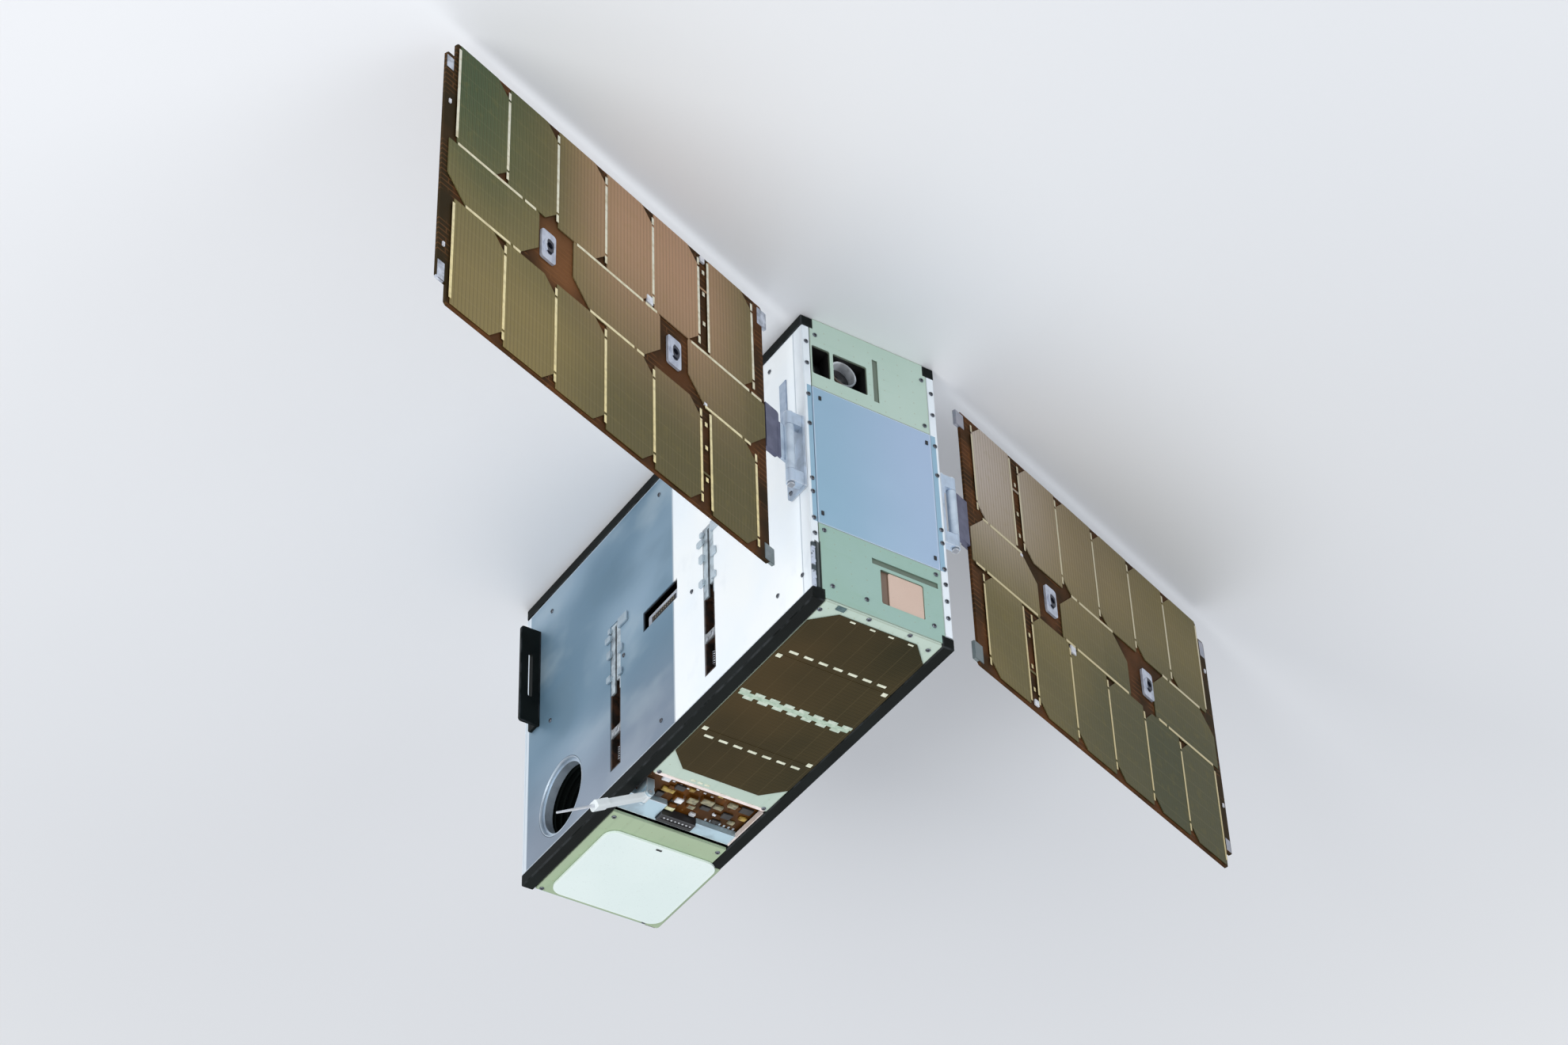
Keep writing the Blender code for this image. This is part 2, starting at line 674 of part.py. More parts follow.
def build_top_board():
    """The solar board between the upper rails, with a row of four cells."""
    board = block(
        "top_board", (TOP_BOARD_FAR, END_X), (-BOARD_Y, BOARD_Y), (TOP_BOARD_LOW, TOP_BOARD_HIGH),
        "pale_green_board",
    )
    crop_corners(board, 2, PATCH_CORNER / 2)
    low = TOP_BOARD_HIGH + SEAT
    high = low + CELL_THICKNESS
    near = END_X - TOP_CELL_SETBACK
    first_gap = near - TOP_CELL_PITCH - TOP_CELL_NEAR_EXTRA
    far = first_gap - (TOP_CELL_COUNT - 1) * TOP_CELL_PITCH
    half = BOARD_Y - TOP_CELL_MARGIN
    cells = block("top_cells", (far, near), (-half, half), (low, high), "dark_cell")
    crop_corners(cells, 2, TOP_CELL_CROP)
    for number in range(TOP_CELL_COUNT - 1):
        x = first_gap - number * TOP_CELL_PITCH
        cut(cells, block(
            "cell gap", (x - TOP_CELL_GAP / 2, x + TOP_CELL_GAP / 2), (-BODY_WIDTH, BODY_WIDTH),
            (low + CELL_THICKNESS / 2, high + SEAT),
        ))


def build_bay():
    """Open equipment bay beside the solar board: board, chips, ledge and connector."""
    floor = BAY_FLOOR - BAY_BOARD
    board = block("bay_board", (BAY_FAR, BAY_NEAR), (-BOARD_Y, BOARD_Y), (floor, BAY_FLOOR), "brown_board")
    for setback, y, length, width, height in CHIPS:
        x = BAY_NEAR - setback
        join(board, block(
            "chip", (x - length / 2, x + length / 2), (y - width / 2, y + width / 2),
            (floor + BAY_BOARD / 2, BAY_FLOOR + height),
        ))
    low = BAY_FLOOR + SEAT
    far = BAY_FAR + LEDGE_SIDE_GAP
    side = BOARD_Y - LEDGE_SIDE_GAP
    ledge = block("bay_bracket", (far, far + LEDGE_LENGTH), (-side, side), (low, low + LEDGE_HEIGHT), "satin_aluminium")
    join(ledge, block(
        "wide ledge", (far, far + LEDGE_WIDE), (CONNECTOR_Y[1] + SEAT, side), (low, low + LEDGE_HEIGHT),
    ))
    cut(ledge, block(
        "connector notch", (far + LEDGE_LENGTH / 5, BAY_NEAR), (CONNECTOR_Y[0] - SEAT, CONNECTOR_Y[1] + SEAT),
        (floor, BODY_HEIGHT),
    ))
    connector = block(
        "bay_connector", (far + LEDGE_LENGTH / 5 + SEAT, far + LEDGE_LENGTH), CONNECTOR_Y,
        (low, low + CONNECTOR_HEIGHT), "black_plastic", edge=CONNECTOR_EDGE,
    )
    centre_x = far + LEDGE_LENGTH * 0.6
    cut(connector, block(
        "connector groove", (centre_x - CONNECTOR_EDGE, centre_x + CONNECTOR_EDGE),
        (CONNECTOR_Y[0] + 4 * CONNECTOR_EDGE, CONNECTOR_Y[1] - 4 * CONNECTOR_EDGE),
        (low + CONNECTOR_HEIGHT / 2, BODY_HEIGHT + CONNECTOR_HEIGHT),
    ))


def build_patch():
    """Patch antenna board that laps over the relieved rail, and its white tile."""
    board = block(
        "patch_board", (PATCH_FAR, PATCH_NEAR), (-BOARD_Y, BOARD_Y), (PATCH_LOW, PATCH_HIGH),
        "pale_green_board",
    )
    lap = block(
        "patch lap", (PATCH_FAR, PATCH_NEAR - PATCH_LAP_START), (-SIDE_Y + PATCH_LAP_MARGIN, 0),
        (PATCH_LOW, PATCH_HIGH),
    )
    crop_corners(lap, 2, PATCH_CORNER, 3, keep=lambda middle: middle.x < 0 and middle.y < 0)
    join(board, lap)
    low = PATCH_HIGH + SEAT
    high = low + PATCH_TILE_THICKNESS
    tile = block(
        "patch_tile", (PATCH_FAR + PATCH_TILE_FAR, PATCH_NEAR - PATCH_TILE_NEAR),
        (-SIDE_Y + PATCH_TILE_RIGHT, BOARD_Y - PATCH_TILE_LEFT), (low, high), "white_tile",
    )
    crop_corners(tile, 2, PATCH_TILE_CORNER, 8)


def build_aperture():
    """Ring, baffled barrel and front lens of the instrument behind the round hole."""
    facing = (-math.pi / 2, 0, 0)
    outer = APERTURE_RADIUS - SEAT
    bore = outer - APERTURE_WALL
    depth = APERTURE_RING_DEPTH
    lip = bore - APERTURE_LIP
    ring = (
        (outer, 0), (outer, -depth), (lip, -depth), (lip, -APERTURE_LIP_SETBACK),
        (bore, -APERTURE_LIP_SETBACK), (bore, -SKIN / 2), (bore + APERTURE_WALL / 3, 0),
    )
    turned("aperture_ring", ring, "satin_aluminium", (APERTURE_X, SKIN_OUT, APERTURE_Z), facing, steps=64)

    mouth = SKIN_OUT - depth - SEAT
    inner = outer - LENS_BARREL_WALL
    barrel = [(0, -LENS_DEPTH), (inner, -LENS_DEPTH)]
    for number in reversed(range(BAFFLE_COUNT)):
        step = -number * BAFFLE_PITCH - SKIN
        barrel += [
            (inner, step - BAFFLE_HEIGHT), (inner - BAFFLE_HEIGHT, step - BAFFLE_HEIGHT / 2),
            (inner - BAFFLE_HEIGHT, step - SEAT), (inner, step),
        ]
    barrel += [(inner, 0), (outer, 0), (outer, -LENS_BARREL_LENGTH), (0, -LENS_BARREL_LENGTH)]
    turned(
        "lens_barrel", barrel, "black_anodised", (APERTURE_X, mouth, APERTURE_Z), facing, closed=False,
    )
    edge = inner - BAFFLE_HEIGHT
    lens = (
        (0, LENS_EDGE + LENS_CROWN), (edge * 0.35, LENS_EDGE + LENS_CROWN * 0.88),
        (edge * 0.7, LENS_EDGE + LENS_CROWN * 0.5), (edge, LENS_EDGE), (edge, 0), (0, 0),
    )
    turned(
        "front_lens", lens, "dark_glass", (APERTURE_X, mouth - LENS_DEPTH + SEAT, APERTURE_Z), facing,
        closed=False,
    )


def build_releases():
    """Hold-down release in each slot: two bars with a slit, lugs, windows and a crossbar."""
    half = SLOT_WIDTH / 2 - SEAT
    face = SKIN_OUT - RELEASE_INSET
    low = SLOT_LOW + SEAT
    bars_high = SLOT_LOW + RELEASE_BAR_LENGTH
    crossbar = SLOT_HIGH - CROSSBAR_DROP
    lug_low = SKIN_OUT + SEAT
    for side_name, side in SIDES.items():
        past = (side * (face - 2 * RELEASE_DEPTH), side * (face + RELEASE_DEPTH))
        for zone, x in SLOT_XS.items():
            release = block(
                "release_%s_%s" % (side_name, zone), (x - half, x + half),
                (side * (face - RELEASE_DEPTH), side * face), (low, SLOT_HIGH - SEAT), "grey_metal",
            )
            inner = half - RELEASE_WALL
            groove_face = side * (face - RELEASE_GROOVE_DEPTH)
            cut(
                release,
                block("lower window", (x - inner, x + inner), past, (bars_high, crossbar - CROSSBAR_HEIGHT / 2)),
                block(
                    "upper window", (x - inner, x + inner), past,
                    (crossbar + CROSSBAR_HEIGHT / 2, SLOT_HIGH - SEAT - RELEASE_WALL),
                ),
                block(
                    "slit", (x - RELEASE_GROOVE / 2, x + RELEASE_GROOVE / 2), (groove_face, past[1]),
                    (low + RELEASE_GROOVE, bars_high + RELEASE_WALL),
                ),
                block(
                    "short bar", (x, x + inner), (groove_face, past[1]),
                    (SLOT_LOW + RELEASE_SHORT_BAR, bars_high + RELEASE_WALL),
                ),
            )
            for direction, start, reach, height in LUGS:
                tip = x + direction * (SLOT_WIDTH / 2 + reach)
                root = x + direction * (half - RELEASE_WALL)
                z_span = (low + start, low + start + height)
                lug = block("lug", (root, tip), (side * lug_low, side * (lug_low + LUG_THICKNESS)), z_span)
                crop_corners(lug, 1, LUG_CORNER)
                stem_root = x + direction * (half - STEM_WIDTH)
                stem = block(
                    "lug stem", (stem_root, x + direction * (half - SEAT)),
                    (side * (face - RELEASE_WALL), side * (lug_low + LUG_THICKNESS / 2)),
                    (z_span[0] + STEM_INSET, z_span[1] - STEM_INSET),
                )
                join(release, stem, lug)


def build_inner_blocks():
    """Plain blocks for the heavy electronics, the payload and the access connector."""
    low = SKIN + SEAT
    stack_y = SKIN_IN - STACK_SIDE_GAP
    payload_y = SIDE_Y - PAYLOAD_SIDE_GAP
    block(
        "avionics_stack", (SLOT_XS["bus"] + AVIONICS_SLOT_GAP, END_X - AVIONICS_NEAR_GAP),
        (-stack_y, stack_y), (low, BODY_HEIGHT - STACK_TOP_GAP), "brown_board",
    )
    block(
        "payload_stack", (SLOT_XS["payload"] + PAYLOAD_SLOT_GAP, SLOT_XS["bus"] - AVIONICS_SLOT_GAP),
        (-payload_y, payload_y), (low, BODY_HEIGHT - PAYLOAD_TOP_GAP), "brown_board",
    )
    connector = block(
        "port_connector", (PORT_X[0] + PORT_CONNECTOR_MARGIN, PORT_X[1] - SEAT),
        (payload_y + SEAT, SKIN_OUT - PORT_CONNECTOR_INSET), (PORT_Z[0] + PORT_GAP, PORT_Z[1] - SEAT),
        "grey_metal",
    )
    crop_corners(connector, 1, PORT_CONNECTOR_INSET / 2)


def build_guards():
    """Black tip guard beside the free edge of each stowed wing."""
    root = SKIN_OUT + SEAT
    tip = SIDE_Y + GUARD_REACH
    high = GUARD_LOW + GUARD_LENGTH
    middle_y = (root + tip) / 2
    middle_z = (GUARD_LOW + high) / 2
    for side_name, side in SIDES.items():
        guard = block(
            "tip_guard_%s" % side_name, (GUARD_X - GUARD_THICKNESS, GUARD_X), (side * root, side * tip),
            (GUARD_LOW, high), "black_anodised",
        )
        crop_corners(guard, 0, GUARD_CORNER, 3, keep=lambda middle: side * middle.y > 0)
        foot = block(
            "guard foot", (GUARD_X - GUARD_FOOT, GUARD_X - GUARD_THICKNESS / 2),
            (side * root, side * (root + GUARD_FOOT_THICKNESS)),
            (GUARD_LOW + GUARD_FOOT_MARGIN, high - GUARD_FOOT_MARGIN),
        )
        crop_corners(foot, 1, GUARD_CORNER, 3, keep=lambda middle: middle.x < 0)
        slot = block(
            "guard slot", (GUARD_X - 2 * GUARD_THICKNESS, GUARD_X + GUARD_THICKNESS),
            (side * (middle_y - GUARD_SLOT_WIDTH / 2), side * (middle_y + GUARD_SLOT_WIDTH / 2)),
            (middle_z - GUARD_SLOT_LENGTH / 2, middle_z + GUARD_SLOT_LENGTH / 2),
        )
        crop_corners(slot, 0, GUARD_SLOT_WIDTH * 0.45, 3)
        join(guard, foot)
        cut(guard, slot)


def build_hinge_base(side_name, side):
    """Fixed half of a wing hinge: a plate on the body, two knuckles and the pin."""
    low = MIDDLE_Z - HINGE_SPAN / 2
    high = MIDDLE_Z + HINGE_SPAN / 2
    root = SKIN_OUT + SEAT
    end = HINGE_X + KNUCKLE_RADIUS
    centre = (HINGE_X, side * HINGE_Y)
    base = block(
        "hinge_%s_base" % side_name, (end - HINGE_BASE_LENGTH, end),
        (side * root, side * (root + HINGE_BASE)), (low, high), "grey_metal",
    )
    crop_corners(base, 1, HINGE_BASE_CORNER, 3, keep=lambda middle: middle.x < 0)
    for knuckle_low in (low, high - KNUCKLE_LENGTH):
        z_span = (knuckle_low, knuckle_low + KNUCKLE_LENGTH)
        ear = block(
            "ear", (HINGE_X - KNUCKLE_RADIUS + SEAT, end - SEAT),
            (side * (root + HINGE_BASE / 2), side * HINGE_Y), (z_span[0] + SEAT, z_span[1] - SEAT),
        )
        knuckle = rod("knuckle", (*centre, z_span[0]), (*centre, z_span[1]), KNUCKLE_RADIUS)
        gusset = block(
            "gusset", (HINGE_X - 2.2 * KNUCKLE_RADIUS, HINGE_X),
            (side * (root + HINGE_BASE / 2), side * (root + HINGE_BASE + KNUCKLE_RADIUS)),
            (sum(z_span) / 2 - HINGE_BASE / 2, sum(z_span) / 2 + HINGE_BASE / 2),
        )
        crop_corners(
            gusset, 2, KNUCKLE_RADIUS * 0.95, keep=lambda middle: middle.x < 0 and side * middle.y > 0,
        )
        join(base, gusset, ear, knuckle)
    cut(base, rod(
        "pin bore", (*centre, low - KNUCKLE_LENGTH), (*centre, high + KNUCKLE_LENGTH), PIN_RADIUS + SEAT,
    ))
    head_low = high + SEAT
    pin = rod("hinge_%s_pin" % side_name, (*centre, low), (*centre, head_low + PIN_HEAD / 2), PIN_RADIUS, "steel_pin")
    join(pin, rod("pin head", (*centre, head_low), (*centre, head_low + PIN_HEAD), PIN_HEAD_RADIUS))


def across(side, front, back):
    """A span across the wing, from the cell side toward the body side."""
    return (side * front, side * back)


def build_leaf(side_name, side, empty):
    """Moving half of a wing hinge: knuckle, web, plate and a tab behind the board."""
    reach = HINGE_SPAN / 2 - KNUCKLE_LENGTH - SEAT
    leaf = rod(
        "hinge_%s_leaf" % side_name, (0, 0, -reach), (0, 0, reach), KNUCKLE_RADIUS, "grey_metal", empty,
    )
    low, high = -reach - LEAF_SHIFT, reach - LEAF_SHIFT
    plate_end = WING_START - SEAT
    back = WING_OFFSET + LEAF_THICKNESS / 2
    web = block(
        "leaf web", (0, LEAF_STEP + LEAF_WEB), across(side, WING_OFFSET - LEAF_WEB, WING_OFFSET),
        (-reach + SEAT, high - SEAT), parent=empty,
    )
    plate = block(
        "leaf plate", (LEAF_STEP, plate_end), across(side, WING_OFFSET - LEAF_THICKNESS / 2, back),
        (low, high), parent=empty,
    )
    crop_corners(plate, 1, LEAF_CORNER, 3, keep=lambda middle: middle.x < 0)
    tab_front = WING_BACK + SEAT
    tab = block(
        "leaf tab", (LEAF_TAB_START, WING_START + LEAF_TAB_LAP),
        across(side, tab_front, tab_front + LEAF_TAB), (low + SEAT, high - SEAT), parent=empty,
    )
    crop_corners(tab, 1, LEAF_CORNER, 3, keep=lambda middle: middle.x > 0)
    join(leaf, web, plate, tab)
    cut(leaf, rod("leaf bore", (0, 0, -HINGE_SPAN), (0, 0, HINGE_SPAN), PIN_RADIUS + SEAT, parent=empty))


def clamp_places():
    """Distance of each hold-down clamp from the hinge axis: over the slots when stowed."""
    return {zone: HINGE_X - x for zone, x in SLOT_XS.items()}


def build_wing_board(side_name, side, empty):
    """The wing's board with its outer tongue and a hole behind each clamp."""
    half = WING_HEIGHT / 2
    end = WING_START + WING_LENGTH
    board = block(
        "wing_%s_board" % side_name, (WING_START, end), across(side, WING_FRONT, WING_BACK),
        (-half, half), "brown_board", empty,
    )
    crop_corners(board, 1, WING_CORNER)
    tongue = block(
        "tongue", (end - TONGUE, end + TONGUE), across(side, WING_FRONT, WING_BACK),
        (-half + TONGUE_LOW, half - TONGUE_HIGH), parent=empty,
    )
    crop_corners(tongue, 1, WING_CORNER)
    join(board, tongue)
    for place in clamp_places().values():
        cut(board, rod(
            "clamp hole", (place, -WING_START, 0), (place, WING_START, 0), CLAMP_BOSS_RADIUS + SEAT,
            parent=empty,
        ))


def cell_columns():
    """Start and end of each upright cell, outward from the hinge axis."""
    start = WING_START + CELL_ROOT_MARGIN
    spans = [(start, start + CELL_WIDTH)]
    start += CELL_WIDTH + CELL_SPLIT_GAP
    for _ in range(CELL_COLUMNS - 1):
        spans.append((start, start + CELL_WIDTH))
        start += CELL_WIDTH + CELL_GAP
    return spans


def lying_spans():
    """Start and end of each lying cell, on either side of the clamps."""
    bus, payload = sorted(clamp_places().values())
    return [
        (WING_START + LYING_ROOT_MARGIN, bus - LYING_INNER_GAP),
        (bus + LYING_NEXT_GAP, payload - LYING_WIDE_GAP),
        (payload + LYING_OUTER_GAP, WING_START + WING_LENGTH + LYING_OVERHANG),
    ]


def build_wing_cells(side_name, side, empty):
    """Fifteen cells in three rows, joined by their connecting strips."""
    back = WING_FRONT - SEAT
    layer = across(side, back - WING_CELL_THICKNESS, back)
    link_layer = across(side, back - WING_CELL_THICKNESS * 0.7, back - WING_CELL_THICKNESS * 0.25)
    row_edge = WING_HEIGHT / 2 - CELL_EDGE_MARGIN
    inner_edge = row_edge - UPRIGHT_CELL
    lying_edge = inner_edge - CELL_GAP
    row_middle = (inner_edge + row_edge) / 2
    columns = cell_columns()

    cells = []
    links = []
    for band in (1, -1):
        for start, end in columns:
            cell = block(
                "cell" if cells else "wing_%s_cells" % side_name, (start, end), layer,
                (band * inner_edge, band * row_edge), None if cells else "olive_cell", empty,
            )
            cells.append(crop_corners(cell, 1, UPRIGHT_CROP, keep=lambda middle: middle.x < 0))
        for before, after in zip(columns, columns[1:]):
            if before is columns[0]:
                low, high = (row_middle + LINK_RISE, row_middle + LINK_RISE + LINK_HEIGHT)
            else:
                low, high = inner_edge + UPRIGHT_CROP + LINK_LAP, row_edge - UPRIGHT_CROP - LINK_LAP
            links.append(block(
                "column link", (before[1] - LINK_LAP, after[0] + LINK_LAP), link_layer,
                (band * low, band * high), parent=empty,
            ))
    for start, end in lying_spans():
        cell = block("lying cell", (start, end), layer, (-lying_edge, lying_edge), parent=empty)
        cells.append(crop_corners(cell, 1, LYING_CROP, keep=lambda middle: side * middle.z > 0))
        for band in (1, -1):
            crop = LYING_CROP if band == side else 0.0
            low = max(start + crop, columns[0][0] + UPRIGHT_CROP)
            high = min(end - crop, columns[-1][1]) - LINK_LAP
            links.append(block(
                "row link", (low + LINK_LAP, high), link_layer,
                (band * (lying_edge - LINK_LAP), band * (inner_edge + LINK_LAP)), parent=empty,
            ))
    join(cells[0], *links, *cells[1:])


def build_clamps(side_name, side, empty):
    """Hold-down clamp plates on the cell side, with a collar and a boss through the board."""
    front = WING_FRONT - SEAT
    for zone, place in clamp_places().items():
        clamp = block(
            "clamp_%s_%s" % (side_name, zone), (place - CLAMP_WIDTH / 2, place + CLAMP_WIDTH / 2),
            across(side, front - CLAMP_THICKNESS, front), (-CLAMP_LENGTH / 2, CLAMP_LENGTH / 2),
            "grey_metal", empty,
        )
        crop_corners(clamp, 1, CLAMP_CORNER, 3)
        collar = rod(
            "collar", (place, side * (front - CLAMP_THICKNESS / 2), 0),
            (place, side * (front - CLAMP_THICKNESS - CLAMP_COLLAR), 0), CLAMP_COLLAR_RADIUS,
            parent=empty,
        )
        boss = rod(
            "boss", (place, side * (front - CLAMP_THICKNESS / 2), 0),
            (place, side * (WING_BACK + CLAMP_BOSS), 0), CLAMP_BOSS_RADIUS, parent=empty,
        )
        hole = rod(
            "clamp bore", (place, side * (front - 3 * CLAMP_THICKNESS), 0),
            (place, side * (WING_BACK + 2 * CLAMP_BOSS), 0), CLAMP_HOLE_RADIUS, parent=empty,
        )
        join(clamp, collar, boss)
        cut(clamp, hole)


def build_wings():
    for side_name, side in SIDES.items():
        build_hinge_base(side_name, side)
        direction = math.pi / 2 - WING_TILT if side > 0 else -math.pi / 2 - WING_TILT
        empty = axis_empty(
            "%s wing axis" % side_name, (HINGE_X, side * HINGE_Y, MIDDLE_Z), (0, 0, direction),
        )
        build_leaf(side_name, side, empty)
        build_wing_board(side_name, side, empty)
        build_wing_cells(side_name, side, empty)
        build_clamps(side_name, side, empty)


def build_antenna():
    """Ears and pin in the bay, and the arm, block and whip that swing on them."""
    floor = BAY_FLOOR + SEAT
    ear_inner = ARM_WIDTH / 2 + SEAT
    ear_outer = ear_inner + EAR_THICKNESS
    half = ANTENNA_KNUCKLE_RADIUS
    saddle = ANTENNA_Z - half - 4 * SEAT
    mount = block(
        "antenna_mount", (ANTENNA_X - ear_outer, ANTENNA_X + ear_outer),
        (ANTENNA_Y - half, ANTENNA_Y + half), (floor, saddle), "satin_aluminium",
    )
    for step in (-1, 1):
        x_span = (ANTENNA_X + step * ear_inner, ANTENNA_X + step * ear_outer)
        join(
            mount,
            block(
                "antenna ear", x_span, (ANTENNA_Y - half + SEAT, ANTENNA_Y + half - SEAT),
                (floor + SEAT, ANTENNA_Z),
            ),
            rod("ear head", (x_span[0], ANTENNA_Y, ANTENNA_Z), (x_span[1], ANTENNA_Y, ANTENNA_Z), half),
        )
    cut(mount, rod(
        "ear bore", (ANTENNA_X - ARM_WIDTH, ANTENNA_Y, ANTENNA_Z),
        (ANTENNA_X + ARM_WIDTH, ANTENNA_Y, ANTENNA_Z), ANTENNA_PIN_RADIUS + SEAT,
    ))
    rod(
        "antenna_pin", (ANTENNA_X - ear_outer, ANTENNA_Y, ANTENNA_Z),
        (ANTENNA_X + ear_outer, ANTENNA_Y, ANTENNA_Z), ANTENNA_PIN_RADIUS, "steel_pin",
    )

    empty = axis_empty("antenna axis", (ANTENNA_X, ANTENNA_Y, ANTENNA_Z), (ANTENNA_RISE, 0, 0))
    half_width = ARM_WIDTH / 2
    arm = rod(
        "antenna_arm", (-half_width, 0, 0), (half_width, 0, 0), ANTENNA_KNUCKLE_RADIUS, "white_tile", empty,
    )
    shaft_half = half_width - SEAT
    shaft = block(
        "arm shaft", (-shaft_half, shaft_half), (0, ARM_LENGTH), (-ARM_THICKNESS / 2, ARM_THICKNESS / 2),
        parent=empty,
    )
    crop_corners(shaft, 1, ARM_EDGE, 2)
    join(arm, shaft)
    cut(arm, rod("arm bore", (-ARM_WIDTH, 0, 0), (ARM_WIDTH, 0, 0), ANTENNA_PIN_RADIUS + SEAT, parent=empty))
    block_start = ARM_LENGTH + SEAT
    block_end = block_start + ANTENNA_BLOCK
    tip = block(
        "antenna_block", (-ANTENNA_BLOCK_WIDTH / 2, ANTENNA_BLOCK_WIDTH / 2), (block_start, block_end),
        (-ANTENNA_BLOCK_THICKNESS / 2, ANTENNA_BLOCK_THICKNESS / 2), "white_tile", empty,
    )
    crop_corners(tip, 1, 2 * ARM_EDGE, 3)
    rod(
        "antenna_whip", (0, block_end + SEAT, 0), (0, block_end + SEAT + WHIP_LENGTH, 0), WHIP_RADIUS,
        "grey_metal", empty, sides=12, end_radius=WHIP_TIP_RADIUS,
    )


def main():
    clear_scene()
    build_rails()
    build_skins()
    build_base_and_far_end()
    build_posts()
    build_near_plates()
    build_sensors()
    build_top_board()
    build_bay()
    build_patch()
    build_aperture()
    build_releases()
    build_inner_blocks()
    build_guards()
    build_wings()
    build_antenna()


main()
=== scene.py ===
"""Small satellite with two open solar wings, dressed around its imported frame.

The frame is in metres, +Z up.  X runs along the rails toward the sensor end and
+Y faces the broad side with the round aperture.  A wing is measured outward from
its hinge axis, up from the middle of the body, and toward its back.
"""

import json
import math

import bmesh
import bpy
from bpy.props import FloatProperty, FloatVectorProperty, IntProperty, PointerProperty
from bpy.types import Operator, Panel, PropertyGroup
from mathutils import Matrix, Vector


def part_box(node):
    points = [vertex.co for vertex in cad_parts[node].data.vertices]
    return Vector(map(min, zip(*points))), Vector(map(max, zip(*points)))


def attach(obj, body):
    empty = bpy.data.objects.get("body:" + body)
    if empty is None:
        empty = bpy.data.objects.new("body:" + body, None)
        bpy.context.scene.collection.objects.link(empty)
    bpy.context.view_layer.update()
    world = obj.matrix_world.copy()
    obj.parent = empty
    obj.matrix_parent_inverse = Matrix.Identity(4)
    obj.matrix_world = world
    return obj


bl_info = {
    "name": "Small Satellite Dressing",
    "version": (1, 0, 0),
    "blender": (4, 5, 0),
    "location": "View3D > Sidebar > Satellite",
    "description": "Finishes, cells, fasteners and studio for a small satellite with two solar wings",
    "category": "Object",
}

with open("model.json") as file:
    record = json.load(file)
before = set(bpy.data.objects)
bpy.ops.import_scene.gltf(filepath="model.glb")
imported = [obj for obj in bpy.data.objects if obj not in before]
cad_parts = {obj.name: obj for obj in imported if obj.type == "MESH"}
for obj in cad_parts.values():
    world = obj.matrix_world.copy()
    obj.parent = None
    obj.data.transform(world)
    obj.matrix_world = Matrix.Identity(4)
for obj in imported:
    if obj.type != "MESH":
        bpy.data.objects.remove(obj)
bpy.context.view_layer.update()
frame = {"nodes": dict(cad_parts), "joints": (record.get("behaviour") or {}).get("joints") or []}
NODES = frame["nodes"]
JOINT_PLACES = {joint["name"]: Vector(joint["pos_m"]) for joint in frame["joints"]}

SIDES = {"left": 1, "right": -1}
WING_TILT = math.radians(19.5)
WING_BACK_DIRECTION = Vector((-math.cos(WING_TILT), math.sin(WING_TILT), 0))
SEAT = 0.0003
SOFT_EDGE = 0.0003
SHARP_ANGLE = math.radians(35)
LATCH_START = 0.1820
BAY_FLOOR = 0.2195


def tone(red, green, blue):
    """A display colour, 0 to 255, as the linear colour that shaders take."""
    linear = []
    for value in (red, green, blue):
        share = value / 255
        linear.append(share / 12.92 if share <= 0.04045 else ((share + 0.055) / 1.055) ** 2.4)
    return tuple(linear)


def length(name, description, default):
    return FloatProperty(
        name=name, description=description, default=default, min=0, unit="LENGTH", precision=5,
    )


def colour(name, description, display):
    return FloatVectorProperty(
        name=name, description=description, default=tone(*display), size=3, min=0, max=1, subtype="COLOR",
    )


class Value:
    """A shader socket that takes part in Python sums."""

    def __init__(self, graph, socket):
        self.graph = graph
        self.socket = socket

    def __add__(self, other):
        return self.graph.maths("ADD", self, other)

    __radd__ = __add__

    def __sub__(self, other):
        return self.graph.maths("SUBTRACT", self, other)

    def __rsub__(self, other):
        return self.graph.maths("SUBTRACT", other, self)

    def __mul__(self, other):
        return self.graph.maths("MULTIPLY", self, other)

    __rmul__ = __mul__

    def __truediv__(self, other):
        return self.graph.maths("DIVIDE", self, other)

    def __abs__(self):
        return self.graph.maths("ABSOLUTE", self)

    def low(self, other):
        return self.graph.maths("MINIMUM", self, other)

    def high(self, other):
        return self.graph.maths("MAXIMUM", self, other)

    def rise(self, start, end):
        """0 below start and 1 above end, with a smooth step between."""
        return self.graph.node(
            "ShaderNodeMapRange", {"interpolation_type": "SMOOTHSTEP"},
            {"Value": self, "From Min": start, "From Max": end},
        )

    def fall(self, start, end):
        return 1 - self.rise(start, end)

    def near(self, middle, half, soft):
        """1 within half of a middle value, fading out over a soft margin."""
        return abs(self - middle).fall(half, half + soft)

    def lines(self, pitch, width):
        """1 on thin lines that repeat at a pitch."""
        return self.graph.maths("PINGPONG", self, pitch / 2).fall(width * 0.35, width * 0.65)


